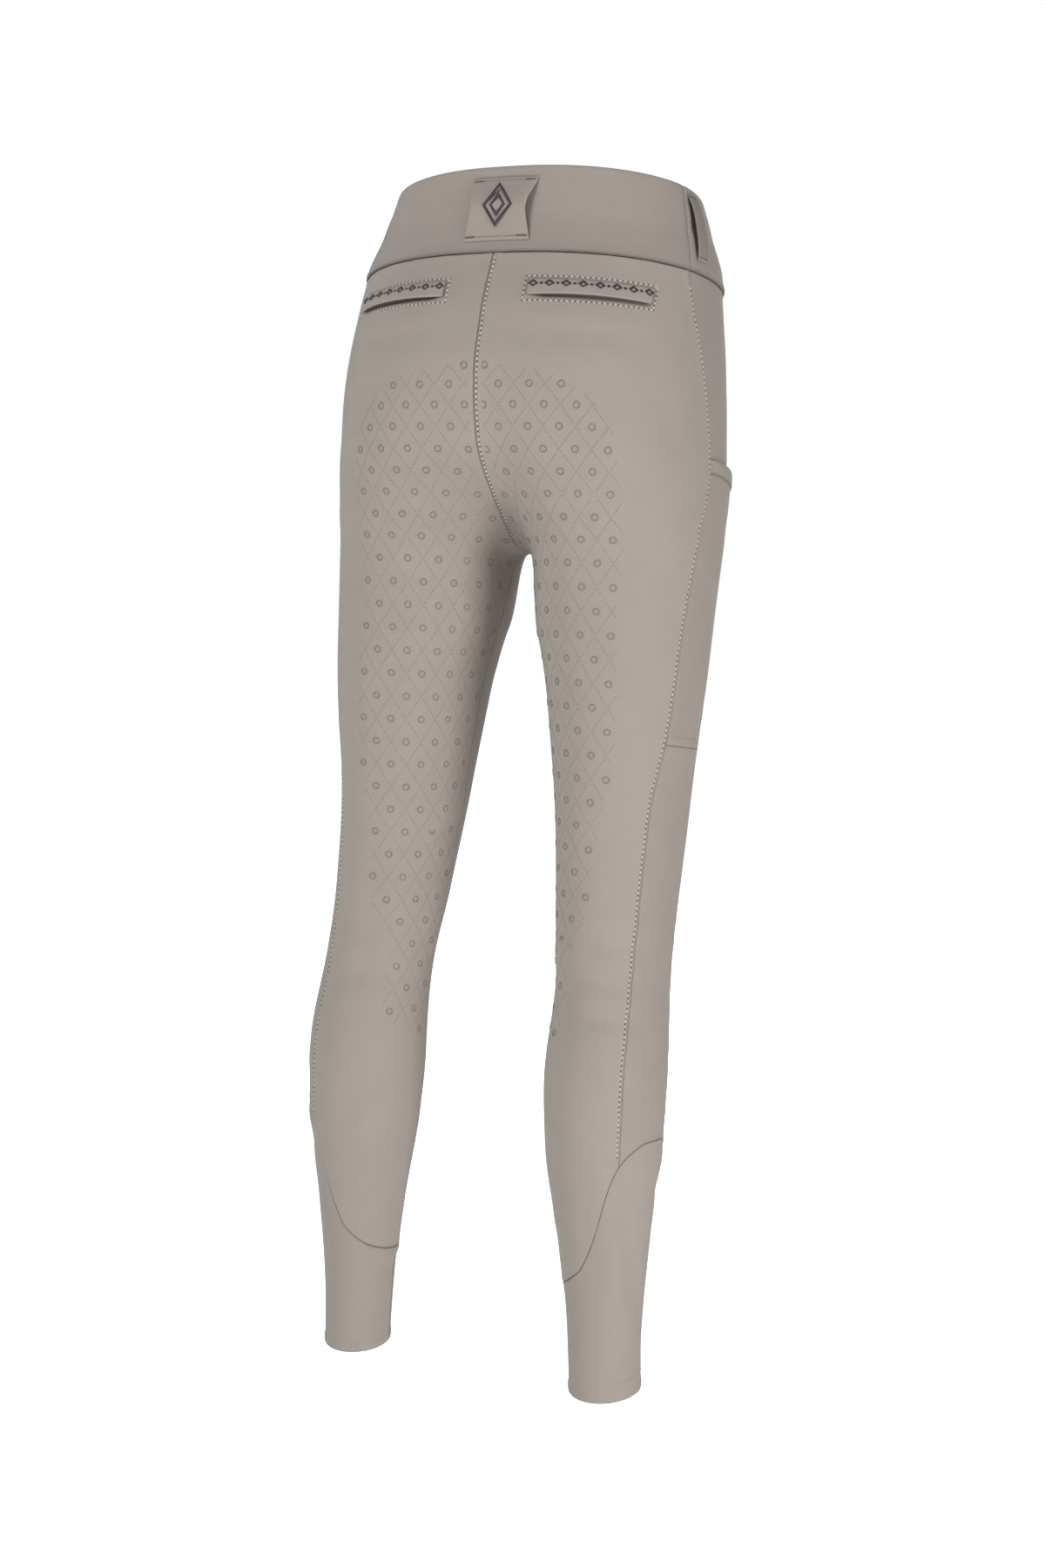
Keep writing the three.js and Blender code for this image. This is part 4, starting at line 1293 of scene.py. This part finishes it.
    def cuff(self) -> None:
        """The stretch cuff, all round the lower leg, seamed at the inner leg and turned up at its hem."""
        hem_steps = (0.0, 0.4, 0.9, 1.6, 3.0, 5.2, 6.4, 7.0, 7.6, 8.6, 10.5)
        zones = [Zone(cuff_edge, level(HEM_DROP), spaced(self.cuff_depth, SEAM_STEPS, hem_steps))]
        patch = lay_out(self.side, zones, level(-180.0), level(180.0), even_columns())
        hem = 0.75 * turned_up(patch.from_foot, HEM_TURN_UP)
        stitched = 0.25 * bell(patch.from_foot, self.cuff_sewn_height, 0.7)
        allowance = 0.5 * bell(patch.from_top, 2.0, 1.0) + 0.22 * bell(patch.from_top, 6.5, 2.6)
        lift = -self.cuff_sunk + hem + edge_relief(patch.from_foot, Surround.FREE)
        lift += 0.35 * edge_relief(patch.from_top, Surround.PLAIN)
        lift += edge_relief(patch.from_sides, Surround.PLAIN)
        lift -= stitched
        lift += allowance
        # Painted shade in the cuff's side seam and along its top seam
        painted_shade = 0.9 * bell(np.minimum(patch.from_sides, patch.from_top), 0, self.cuff_seam_shade)
        self.sheet("cuff", patch, lift, CUFF_JERSEY, CUFF_CLOTH, painted_shade)
        self.sew_hem(patch, lift, patch.from_foot, self.cuff_sewn_height, inset=1)

    def sew(self) -> None:
        """Topstitching of the side seam and, on the right, of the centre-back seam."""
        drop = np.linspace(*self.side_row, 700)
        seam = SEAM_CURVES["back"](drop)
        angle = seam - STITCH_FROM_SEAM / per_degree(self.side, seam, drop, -0.5)
        inside = drop < cuff_edge(angle) - self.row_above_cuff
        self.sewing.row(self.side, angle[inside], drop[inside], self.stitch_lift)
        if self.side is Side.RIGHT:
            start, turn = self.centre_row
            drop = np.concatenate([np.linspace(start, turn, 300),
                                   np.linspace(turn + 0.5, FORM.crotch - self.row_above_crotch, 60)])
            angle = FORM.angle_at(drop, STITCH_FROM_SEAM, Facing.BACK)
            self.sewing.row(self.side, angle, drop, self.stitch_lift)


@dataclass
class BackPocket:
    """A welt pocket of the seat: the strip, its sewn frame and its printed motifs, in millimetres."""

    side: Side
    shop: Workshop
    sewing: Sewing
    cloth: float = 1.4
    gap: float = 0.35
    bow: float = 2.2
    welt_depth: float = 12.0
    columns: int = 60
    frame_from_strip: float = 2.1
    frame_below_strip: float = 1.9
    frame_lift: float = 0.1
    seat_depth: float = 210.0
    motif_row: int = 5
    motif_count: int = 8
    motif_width: float = 8.0
    motif_height: float = 6.0
    motif_line: float = 1.5
    motif_raised: float = 0.45
    dot_radius: float = 1.3
    dot_raised: float = 0.4

    def strip(self, top_share: float, foot_share: float, margin: float, rows: np.ndarray) -> Patch:
        """A patch of the seat at the welt's distance from the centre seam, wider by a margin."""
        start, end = WELT_FROM_CENTRE - margin, WELT_FROM_CENTRE + WELT_LENGTH + margin
        zones = [Zone(seat_level(top_share), seat_level(foot_share), rows)]
        return lay_out(self.side, zones, SEAM_CURVES["back"], centre_back,
                       lambda lengths: lengths[:, None] - np.linspace(end, start, self.columns)[None], True)

    def build(self) -> None:
        """Makes the strip and what is sewn and printed on it."""
        rows = np.concatenate([[0, 0.04, 0.1, 0.18], np.linspace(0.26, 0.74, 6), [0.82, 0.9, 0.96, 1]])
        patch = self.strip(WELT_TOP_SHARE, WELT_FOOT_SHARE, 0.0, rows)
        lift = self.lift(patch)
        # Painted shade along the welt's sewn top and ends
        painted_shade = 0.8 * bell(np.minimum(patch.from_top, patch.from_sides), 0, 0.6)
        self.shop.sheet(f"welt_{self.side.word}", patch, lift, SEAT_CLOTH, (WELT_LENGTH, self.welt_depth),
                        self.cloth, painted_shade)
        self.sew_frame()
        self.print_motifs(patch, lift)

    def lift(self, patch: Patch) -> np.ndarray:
        """Height of the strip's outer face, its lower edge standing off in the middle."""
        lift = self.gap + self.cloth + self.bow * patch.along * np.sin(np.pi * patch.across)
        sewn_down = 0.9 * bell(patch.from_top, 0, 0.9) + 0.8 * bell(patch.from_sides, 0, 1.0)
        folded_edge = 0.45 * bell(patch.from_foot, 0, 0.7)
        lift -= sewn_down
        return lift - folded_edge

    def sew_frame(self) -> None:
        """Sews a row of stitches round the pocket."""
        share = self.frame_from_strip / self.seat_depth
        patch = self.strip(WELT_TOP_SHARE - share, WELT_FOOT_SHARE + self.frame_below_strip * share,
                           self.frame_from_strip, np.linspace(0, 1, 12))
        for line in (np.s_[0, :], np.s_[-1, :], np.s_[:, 0], np.s_[:, -1]):
            self.sewing.row(self.side, patch.angle[line], patch.drop[line], self.frame_lift)

    def print_motifs(self, patch: Patch, lift: np.ndarray) -> None:
        """Prints a plain border of lozenges and dots along the strip."""
        count = 2 * self.motif_count - 1
        middle = self.motif_row
        height = FORM.fold_height(self.side, patch.angle, patch.drop) + lift
        line = (patch.point + patch.normal * height[..., None])[middle]
        across = patch.across[middle]
        shares = (np.arange(count) + 0.75) / (count + 0.5)
        place = on_line(shares, across, line)
        ahead = on_line(shares + 0.01, across, line) - place
        axes = frames_along(ahead, on_line(shares, across, patch.normal[middle]))
        lozenge = outline_motif(4, self.motif_width / 2, self.motif_line, self.motif_raised,
                                self.motif_height / self.motif_width)
        dot = dome(self.dot_radius, self.dot_raised, 10)
        for kind, unit, first in (("lozenges", lozenge, 0), ("dots", dot, 1)):
            self.shop.scatter(f"welt_{self.side.word}_{kind}", unit, place[first::2], axes[first::2], INK)


def outline_motif(corners: int, radius: float, line: float, height: float,
                  tallness: float = 1.0) -> bmesh.types.BMesh:
    """A raised outline with straight sides, in millimetres.

    Args:
        corners: its corners, or many for a ring.
        radius: from its middle to a corner.
        line: width of the outline.
        height: how far it stands up.
        tallness: its height over its width, as it lies.

    Returns:
        The shape, lying in XY.
    """
    bm = bmesh.new()
    bmesh.ops.create_circle(bm, cap_ends=True, segments=corners, radius=radius)
    face = bm.faces[:]
    bmesh.ops.inset_region(bm, faces=face, thickness=line, use_even_offset=True, use_boundary=True)
    bmesh.ops.delete(bm, geom=face, context="FACES")
    ring = bmesh.ops.extrude_face_region(bm, geom=bm.faces[:])
    raised = [v for v in ring["geom"] if isinstance(v, bmesh.types.BMVert)]
    bmesh.ops.translate(bm, verts=raised, vec=(0, 0, height))
    bmesh.ops.recalc_face_normals(bm, faces=bm.faces[:])
    bmesh.ops.scale(bm, verts=bm.verts[:], vec=(1, tallness, 1))
    return bm


def dome(radius: float, height: float, segments: int, top_share: float = 0.55) -> bmesh.types.BMesh:
    """A flat dot of print that narrows to its top, in millimetres."""
    bm = bmesh.new()
    bmesh.ops.create_cone(bm, cap_ends=True, segments=segments, radius1=radius,
                          radius2=radius * top_share, depth=height)
    bmesh.ops.translate(bm, verts=bm.verts[:], vec=(0, 0, height / 2))
    return bm


@dataclass
class GripPrint:
    """Full-seat silicone print, in millimetres: a lattice of dotted lines with a plain ring in each cell."""

    side: Side
    shop: Workshop
    half_across: float = 12.0
    half_down: float = 18.0
    dots_a_side: int = 10
    dot_radius: float = 0.48
    dot_height: float = 0.3
    ring_radius: float = 2.8
    ring_line: float = 0.7
    ring_height: float = 0.35
    sunk: float = 0.03
    from_seam: float = 4.5
    start_drop: float = 149.0
    row_spacing: float = 2.0
    upright_across: float = 90.0
    columns: int = 200
    columns_closing: float = 1.2

    # The lattice's lines that are drawn, counted from the one through the start, falling and rising
    falling_lines: tuple[int, int] = (-14, 50)
    rising_lines: tuple[int, int] = (-50, 30)

    def lattice(self) -> tuple[np.ndarray, np.ndarray]:
        """Places of the lines' dots and of the rings, as distances across and down the flat cloth."""
        a, b = self.half_across, self.half_down
        crossings, centres = (
            np.array([((p + q) / 2 * a, (p - q) / 2 * b)
                      for p in range(*self.falling_lines) for q in range(*self.rising_lines)
                      if p % 2 == odd and q % 2 == odd])
            for odd in (1, 0))
        share = np.arange(self.dots_a_side) / self.dots_a_side
        falling = crossings[:, None] + share[None, :, None] * np.array([a, b])
        rising = crossings[:, None] + share[None, 1:, None] * np.array([a, -b])
        dots = np.concatenate([falling.reshape(-1, 2), rising.reshape(-1, 2)])
        return dots, centres

    def build(self) -> None:
        """Lays the lattice on the back panel, measured from an upright line down the leg's back."""
        rows = np.arange(self.start_drop - 2 * self.row_spacing, KNEE_END_DROP + 3 * self.row_spacing,
                         self.row_spacing)
        shares = (rows - rows[0]) / (rows[-1] - rows[0])
        zone = Zone(level(rows[0]), level(rows[-1]), shares)
        closing = 1 - (1 - np.linspace(0, 1, self.columns)[None]) ** self.columns_closing
        patch = lay_out(self.side, [zone], SEAM_CURVES["back"], centre_back,
                        lambda lengths: lengths[:, None] * closing, True)
        across = np.abs(FORM.place(self.side, patch.angle, rows[:, None])[0][..., 0])
        middle = np.array([np.interp(-self.upright_across, -across[r], patch.from_first[r])
                           for r in range(len(rows))])
        down = lengths_along(FORM.place(self.side, np.full(len(rows), -90.0), rows)[0])

        def settle(flat: np.ndarray) -> tuple[np.ndarray, np.ndarray]:
            """Angles and drops of flat places, where they lie within the print."""
            inside = (flat[:, 1] > 0) & (flat[:, 1] < down[-1])
            flat = flat[inside]
            row = np.interp(flat[:, 1], down, np.arange(len(rows)))
            low = np.clip(row.astype(int), 0, len(rows) - 2)
            share = row - low
            angle = np.empty(len(flat))
            seam_distance = np.empty(len(flat))
            for i in range(len(flat)):
                found = []
                for r in (low[i], low[i] + 1):
                    at = middle[r] + flat[i, 0]
                    found.append((np.interp(at, patch.from_first[r], patch.angle[r]),
                                  patch.from_first[r, -1] - at, at))
                angle[i] = between(found[0][0], found[1][0], share[i])
                seam_distance[i] = min(between(found[0][1], found[1][1], share[i]),
                                       between(found[0][2], found[1][2], share[i]))
            drop = np.interp(row, np.arange(len(rows)), rows)
            kept = (angle < print_edge(drop)) & (seam_distance > self.from_seam) & (drop > self.start_drop)
            return angle[kept], drop[kept]

        dots, centres = self.lattice()
        dot = dome(self.dot_radius, self.dot_height, 6)
        ring = outline_motif(12, self.ring_radius, self.ring_line, self.ring_height)
        for kind, flat, unit, finish in (("dots", dots, dot, GRIP_LINE), ("rings", centres, ring, GRIP)):
            angle, drop = settle(flat)
            points, normals = FORM.surface(self.side, angle, drop, -self.sunk)
            ahead, _ = FORM.surface(self.side, angle, drop + 0.5)
            self.shop.scatter(f"grip_{kind}_{self.side.word}", unit, points,
                              frames_along(ahead - points, normals), finish)


@dataclass
class Waistband:
    """The doubled waistband, in a back and a front half, with its tab and its belt loops, in millimetres."""

    shop: Workshop
    sewing: Sewing
    cut_depth: float = 150.0
    seam_stitch_below: float = 1.3
    seam_stitch_sunk: float = 0.35
    tab_width: float = 53.0
    tab_length: float = 52.0
    tab_cut_length: float = 56.0
    tab_sewn_from_end: float = 3.0
    tab_cloth: float = 1.6
    tab_bow: float = 6.0
    tab_waist: float = 3.8
    tab_lean: tuple[float, float] = (1.7, -0.3)
    tab_top: float = 0.14
    tab_foot: float = 0.875
    tack_pitch: float = 1.2
    tack_spread: float = 0.45
    emblem_share: float = 0.46
    emblem_raised: float = 0.5
    emblem_sunk: float = 0.1
    emblem_tallness: float = 1.45
    loop_width: float = 10.5
    loop_length: float = 56.0
    loop_cut_length: float = 58.0
    loop_cloth: float = 1.3
    loop_bow: float = 3.6
    flat_loop_share: float = 0.3
    loop_top: float = 0.1
    loop_foot: float = 0.87
    loop_top_from_seam: float = 3.0
    loop_foot_from_seam: float = 8.0
    loop_stitch_raised: float = 0.05
    loop_stitch_pitch: float = 1.3
    gap: float = 0.35
    field_proud: float = 1.0
    field_rows: int = 18
    inner_foot: float = 0.985

    # Section of the band: share of its depth and how far it stands out, up the outer face and down the inner
    OUTER = ((1.0, -0.3), (1.004, 0.5), (0.998, 1.2), (0.984, 1.7), (0.965, 1.85), (0.945, 1.7), (0.92, 1.35),
             (0.89, 1.1), (0.86, 1.0))
    RIM = ((0.06, 1.0), (0.035, 0.9), (0.015, 0.6), (0.003, 0.2), (-0.003, -0.4), (0.003, -1.0),
           (0.015, -1.4), (0.035, -1.7), (0.06, -1.8))

    # Rows of the rolled foot and how deep in shade each is
    UNDERSIDE = ((0, 1, 2, 3, 4, 5), (1.0, 0.95, 0.75, 0.4, 0.12, 0.0))

    def section(self) -> tuple[np.ndarray, np.ndarray]:
        """Shares and heights of the band's rows, from its foot up and over the rim."""
        foot, rim, over = self.OUTER[-1][0], self.RIM[0][0], self.RIM[-1][0]
        outer = [(share, self.field_proud) for share in np.linspace(foot, rim, self.field_rows)[1:-1]]
        inner = [(share, -BAND_INSIDE) for share in np.linspace(over, self.inner_foot, self.field_rows)[1:]]
        rows = [*self.OUTER, *outer, *self.RIM, *inner]
        return np.array([row[0] for row in rows]), np.array([row[1] for row in rows])

    def half(self, name: str, patch: Patch, heights: np.ndarray) -> None:
        """Makes one half of the band, rolled into its side seams."""
        ends = patch.from_sides
        outside = heights[:, None] > 0
        rolled = 0.75 * bell(ends, 0, 1.2)
        allowance = 0.25 * bell(ends, 5.5, 2.5)
        gathers = 0.06 * np.sin(patch.from_first / 8.3)
        lift = heights[:, None] - np.sign(heights[:, None] + 0.4) * rolled
        lift += allowance * outside
        lift += gathers * outside
        # Painted shade: in the side seams, in the belt loops' hollows and under the rolled foot
        seams = 0.7 * bell(ends, 0, 0.6)
        shade = np.maximum(seams, self.loop_shade(name, patch) * outside)
        shade = np.maximum(shade, np.interp(np.arange(len(heights)), *self.UNDERSIDE)[:, None])
        length = (patch.from_first + patch.from_last)[:, 0].max()
        self.shop.sheet(name, patch, lift, BAND_CLOTH, (length, self.cut_depth), painted_shade=shade)

    def loop_shade(self, name: str, patch: Patch) -> np.ndarray:
        """Painted shade on the band in the belt loops' hollows."""
        if name != "waistband_front":
            return np.zeros_like(patch.angle)
        share = (patch.drop - rim_drop(patch.angle)) / (band_seam_drop(patch.angle) - rim_drop(patch.angle))
        rear = between(self.loop_top_from_seam, self.loop_foot_from_seam, share)
        across = patch.from_sides - rear
        window = smooth_step(-0.4, 0.2, across) * (1 - smooth_step(5.5, 8.0, across))
        return window * smooth_step(0.13, 0.17, share) * (1 - smooth_step(0.8, 0.84, share))

    def build(self) -> None:
        """Makes the band, each half from its left side seam to its right one, the tab and the loops."""
        shares, heights = self.section()
        zones = [Zone(rim_drop, band_seam_drop, shares)]
        from_seam, within = even_columns(SEAM_STEPS, (0.0,)), even_columns((0.0,), (0.0,))
        behind, before = [], []
        for side in Side:
            behind.append(lay_out(side, zones, band_side_seam, centre_back, from_seam, True))
            beside = lay_out(side, zones, band_side_seam, SEAM_CURVES["front"], from_seam)
            before.append(beside.then(
                lay_out(side, zones, SEAM_CURVES["front"], centre_front, within, True)))
        for name, (left, right) in (("waistband_back", behind), ("waistband_front", before)):
            self.half(name, left.then(right, mirrored=True), heights)
        self.tab()
        for side in Side:
            self.loop(side)
            self.sew_seam(side)

    def sew_seam(self, side: Side) -> None:
        """The row of stitches in the seam under the band."""
        back = centre_back(np.array(BAND_SEAM_SIDE_DROP - 10))
        front = centre_front(np.array(BAND_SEAM_SIDE_DROP + 10))
        angle = np.linspace(float(back), float(front), 900)
        self.sewing.row(side, angle, band_seam_drop(angle) + self.seam_stitch_below, -self.seam_stitch_sunk)

    def band_drop(self, angle: np.ndarray, share: np.ndarray) -> np.ndarray:
        """Drop of a share of the band's depth."""
        return between(rim_drop(angle), band_seam_drop(angle), share)

    def tab_grid(self) -> tuple[np.ndarray, ...]:
        """Places of the tab: shares along and across, points and normals."""
        first, last = (0, 0.012, 0.03, 0.05), (0.95, 0.97, 0.988, 1)
        along, across = (np.concatenate([first, np.linspace(inset, 1 - inset, count), last])
                         for inset, count in ((0.075, 22), (0.08, 20)))
        rows, columns = np.meshgrid(along, across, indexing="ij")
        down, up = rows * self.tab_length, (1 - rows) * self.tab_length
        waist = self.tab_waist + np.where(columns > 0.5, *self.tab_lean)
        half = self.tab_width / 2 - waist * np.sin(np.pi * rows) ** 1.3
        x = (1 - 2 * columns) * half
        share = between(self.tab_top, self.tab_foot, rows)
        lift = (self.field_proud + self.gap + self.tab_cloth
                + self.tab_bow * np.sin(np.pi * rows) ** 1.5)
        edge = np.minimum(columns, 1 - columns) * self.tab_width
        rolled = 0.55 * bell(edge, 0, 1.1)
        lift -= rolled
        for distance in (down, up):
            turned_under = 0.5 * bell(distance, 0, 1.0)
            stitched = 0.25 * bell(distance, self.tab_sewn_from_end, 0.9)
            lift -= turned_under + stitched
        buckle = 0.5 * np.sin(np.pi * rows) * bell(columns, 0.86, 0.1)
        lift += buckle
        points = np.empty((*x.shape, 3))
        normals = np.empty_like(points)
        for side in Side:
            mine = x * side.value >= 0
            angle = np.array([FORM.angle_at(self.band_drop(np.array(-90.0), s), abs(v), Facing.BACK)
                              for s, v in zip(share[mine], x[mine])])
            point, normal = FORM.surface(side, angle, self.band_drop(angle, share[mine]), lift[mine])
            points[mine], normals[mine] = point, normal
        return rows, columns, points, normals

    def tab(self) -> None:
        """The wide tab, sewn down at its top and foot."""
        rows, columns, points, normals = self.tab_grid()
        reach = np.full_like(rows, self.tab_width)
        flat = Patch(Side.LEFT, np.zeros_like(rows), np.zeros_like(rows), points, normals, columns * reach,
                     (1 - columns) * reach, rows * self.tab_length, (1 - rows) * self.tab_length)
        self.shop.sheet("back_tab", flat, -FORM.fold_height(Side.LEFT, flat.angle, flat.drop), BAND_CLOTH,
                        (self.tab_width, self.tab_cut_length), self.tab_cloth)
        sewn = self.tab_sewn_from_end / self.tab_length
        for share in (sewn, 1 - sewn):
            row = int(np.abs(rows[:, 0] - share).argmin())
            self.sewing.path(points[row, 3:-3] - normals[row, 3:-3] * 0.02, normals[row, 3:-3])
            self.bar_tacks(points, normals, row)
        self.emblem(points, normals, rows, columns)

    def bar_tacks(self, points: np.ndarray, normals: np.ndarray, row: int) -> None:
        """The dense stitches at the tab's four corners."""
        for columns in (slice(2, 7), slice(-7, -2)):
            for shift in (-self.tack_spread, self.tack_spread):
                down = points[row + 1, columns] - points[row - 1, columns]
                down /= np.linalg.norm(down, axis=-1, keepdims=True)
                self.sewing.path(points[row, columns] + down * shift, normals[row, columns], self.tack_pitch)

    def emblem(self, points: np.ndarray, normals: np.ndarray, rows: np.ndarray, columns: np.ndarray) -> None:
        """A plain lozenge in a lozenge, raised, in the middle of the tab."""
        middle_row = int(np.abs(rows[:, 0] - self.emblem_share).argmin())
        middle = int(np.abs(columns[0] - 0.5).argmin())
        place = points[middle_row, middle][None]
        normal = normals[middle_row, middle][None]
        ahead = points[middle_row, middle + 1][None] - points[middle_row, middle - 1][None]
        axes = frames_along(ahead, normal)
        for name, half_width, line in (("tab_lozenge", 12.0, 1.7), ("tab_lozenge_inner", 6.4, 1.5)):
            unit = outline_motif(4, half_width, line, self.emblem_raised, self.emblem_tallness)
            self.shop.scatter(name, unit, place - normal * self.emblem_sunk, axes, INK)

    def loop(self, side: Side) -> None:
        """A belt loop of tape, its ends sewn under."""
        along = np.concatenate([[0, 0.02, 0.045], np.linspace(0.08, 0.92, 26), [0.955, 0.98, 1]])
        across = np.array([0, 0.05, 0.12, 0.3, 0.5, 0.7, 0.88, 0.95, 1])
        rows, columns = np.meshgrid(along, across, indexing="ij")
        share = between(self.loop_top, self.loop_foot, rows)
        drop = self.band_drop(np.full_like(share, -18.0), share)
        seam = band_side_seam(drop)
        from_seam = between(self.loop_top_from_seam, self.loop_foot_from_seam, share)
        width = self.loop_width * columns
        angle = seam + (from_seam + width) / per_degree(side, seam, drop, 0.5)
        drop = self.band_drop(angle, share)
        lift = self.field_proud + self.gap + self.loop_cloth
        bow = self.loop_bow if side is Side.RIGHT else self.flat_loop_share * self.loop_bow
        lift = lift + bow * np.maximum(np.sin(np.pi * rows), 0) ** 0.8
        lift = lift - 0.3 * bell(np.minimum(width, self.loop_width - width), 0, 0.8)
        point, normal = FORM.place(side, angle, drop)
        patch = Patch(side, angle, drop, point, normal, width, self.loop_width - width,
                      rows * self.loop_length, (1 - rows) * self.loop_length)
        self.shop.sheet(f"belt_loop_{side.word}", patch, lift, TAPE, (self.loop_width, self.loop_cut_length),
                        self.loop_cloth)
        for row in (2, -3):
            self.sewing.row(side, angle[row], drop[row], lift[row] + self.loop_stitch_raised,
                            self.loop_stitch_pitch)


@dataclass(frozen=True)
class Softbox:
    """A rectangular light: where it stands, its size, its power and the level of the point it faces."""

    name: str
    azimuth: float
    elevation: float
    reach: float
    width: float
    height: float
    power: float
    facing: float = -0.45


@dataclass
class Studio:
    """The camera at the photograph's angle, the pale floor and the soft light."""

    image_height: int = 1800
    focal_pixels: float = 2115.0
    azimuth: float = 202.0
    elevation: float = 5.2
    roll: float = 2.3
    distance: float = 1.5
    aim: tuple[float, float, float] = (0.0, 0.010, -0.472)
    floor_level: float = -1.03
    sensor: float = 36.0
    softboxes: tuple[Softbox, ...] = (
        Softbox("key", 163, 38, 2.2, 0.7, 0.7, 19.0),
        Softbox("side", 245, -9.5, 2.2, 0.7, 0.4, 25.0),
        Softbox("rim", 110, -9.5, 2.2, 0.7, 0.4, 11.0),
        Softbox("low", 205, -4, 1.5, 0.8, 0.2, 2.6, -0.82),
        Softbox("front", 10, 24, 3.0, 2.0, 2.0, 46.0),
    )

    def back(self, azimuth: float, elevation: float) -> Vector:
        """Direction from the garment to a viewer."""
        a, e = math.radians(azimuth), math.radians(elevation)
        return Vector((math.sin(a) * math.cos(e), -math.cos(a) * math.cos(e), math.sin(e)))

    def camera(self) -> None:
        """The camera, its picture turned a little clockwise."""
        data = bpy.data.cameras.new("camera")
        data.sensor_width = self.sensor
        data.lens = self.focal_pixels / self.image_height * self.sensor
        data.clip_end = 60
        camera = link("camera", data)
        back = self.back(self.azimuth, self.elevation)
        right = (-back).cross(Vector((0, 0, 1))).normalized()
        up = right.cross(-back)
        turn = math.radians(self.roll)
        x = right * math.cos(turn) + up * math.sin(turn)
        y = up * math.cos(turn) - right * math.sin(turn)
        place = Vector(self.aim) + back * self.distance
        camera.matrix_world = Matrix((
            (x.x, y.x, back.x, place.x), (x.y, y.y, back.y, place.y), (x.z, y.z, back.z, place.z),
            (0, 0, 0, 1)))
        bpy.context.scene.camera = camera

    def floor(self) -> None:
        """A plain pale floor."""
        bm = bmesh.new()
        bmesh.ops.create_grid(bm, x_segments=1, y_segments=1, size=20)
        bmesh.ops.translate(bm, verts=bm.verts[:], vec=(0, 0, self.floor_level))
        mesh = bpy.data.meshes.new("floor")
        bm.to_mesh(mesh)
        bm.free()
        floor = link("floor", mesh)
        material, tree = new_material("white studio floor, matt vinyl")
        seen = add_node(tree, "ShaderNodeLightPath")
        glow = add_node(tree, "ShaderNodeMapRange", {
            "Value": seen.outputs["Is Camera Ray"], "To Min": 0.0, "To Max": 1.0})
        shader = add_node(tree, "ShaderNodeBsdfPrincipled", {
            "Base Color": linear("#F7F7F7"), "Roughness": 0.95, "Specular IOR Level": 0.1,
            "Emission Color": linear("#FFFFFF"), "Emission Strength": glow.outputs["Result"]})
        add_node(tree, "ShaderNodeOutputMaterial", {"Surface": shader.outputs["BSDF"]})
        mesh.materials.append(material)

    def light(self) -> None:
        """Soft lights behind, beside and before the garment, and a pale surround."""
        for box in self.softboxes:
            data = bpy.data.lights.new(box.name, "AREA")
            data.shape = "RECTANGLE"
            data.size, data.size_y = box.width, box.height
            data.energy = box.power
            lamp = link(box.name, data)
            back = self.back(box.azimuth, box.elevation)
            lamp.location = Vector((self.aim[0], self.aim[1], box.facing)) + back * box.reach
            lamp.rotation_mode = "QUATERNION"
            lamp.rotation_quaternion = back.to_track_quat("Z", "Y")
        world = bpy.data.worlds.new("surround")
        bpy.context.scene.world = world
        world.use_nodes = True
        tree = world.node_tree
        tree.nodes.clear()
        seen = add_node(tree, "ShaderNodeLightPath")
        strength = add_node(tree, "ShaderNodeMapRange", {
            "Value": seen.outputs["Is Camera Ray"], "To Min": 0.22, "To Max": 1.0})
        shade = add_node(tree, "ShaderNodeBackground", {
            "Color": linear("#FFFFFF"), "Strength": strength.outputs["Result"]})
        add_node(tree, "ShaderNodeOutputWorld", {"Surface": shade.outputs["Background"]})
        bpy.context.scene.view_settings.view_transform = "Standard"
        bpy.context.scene.view_settings.look = "None"


def main() -> None:
    """Builds the breeches and the studio."""
    logging.basicConfig(level=logging.INFO, format="%(name)s: %(message)s")
    shop = Workshop()
    sewing = Sewing()
    seam_sewing = Sewing(pitch=2.8, width=0.8, height=0.7)
    hem_sewing = Sewing(pitch=2.8, width=0.7, height=0.5)
    Waistband(shop, seam_sewing).build()
    log.info("waistband made")
    for side in Side:
        LegHalf(side, shop, sewing, hem_sewing).build()
        BackPocket(side, shop, sewing).build()
        GripPrint(side, shop).build()
        log.info("%s leg made", side.word)
    for name, rows, finish in (("topstitching", sewing, THREAD), ("hem_stitching", hem_sewing, HEM_THREAD),
                               ("waistband_stitching", seam_sewing, SEAM_THREAD)):
        rows.make(shop, name, finish)
    sewing.make_holes(shop, "needle_holes", NEEDLE_HOLE)
    studio = Studio()
    studio.camera()
    studio.floor()
    studio.light()


if __name__ == "__main__":
    main()
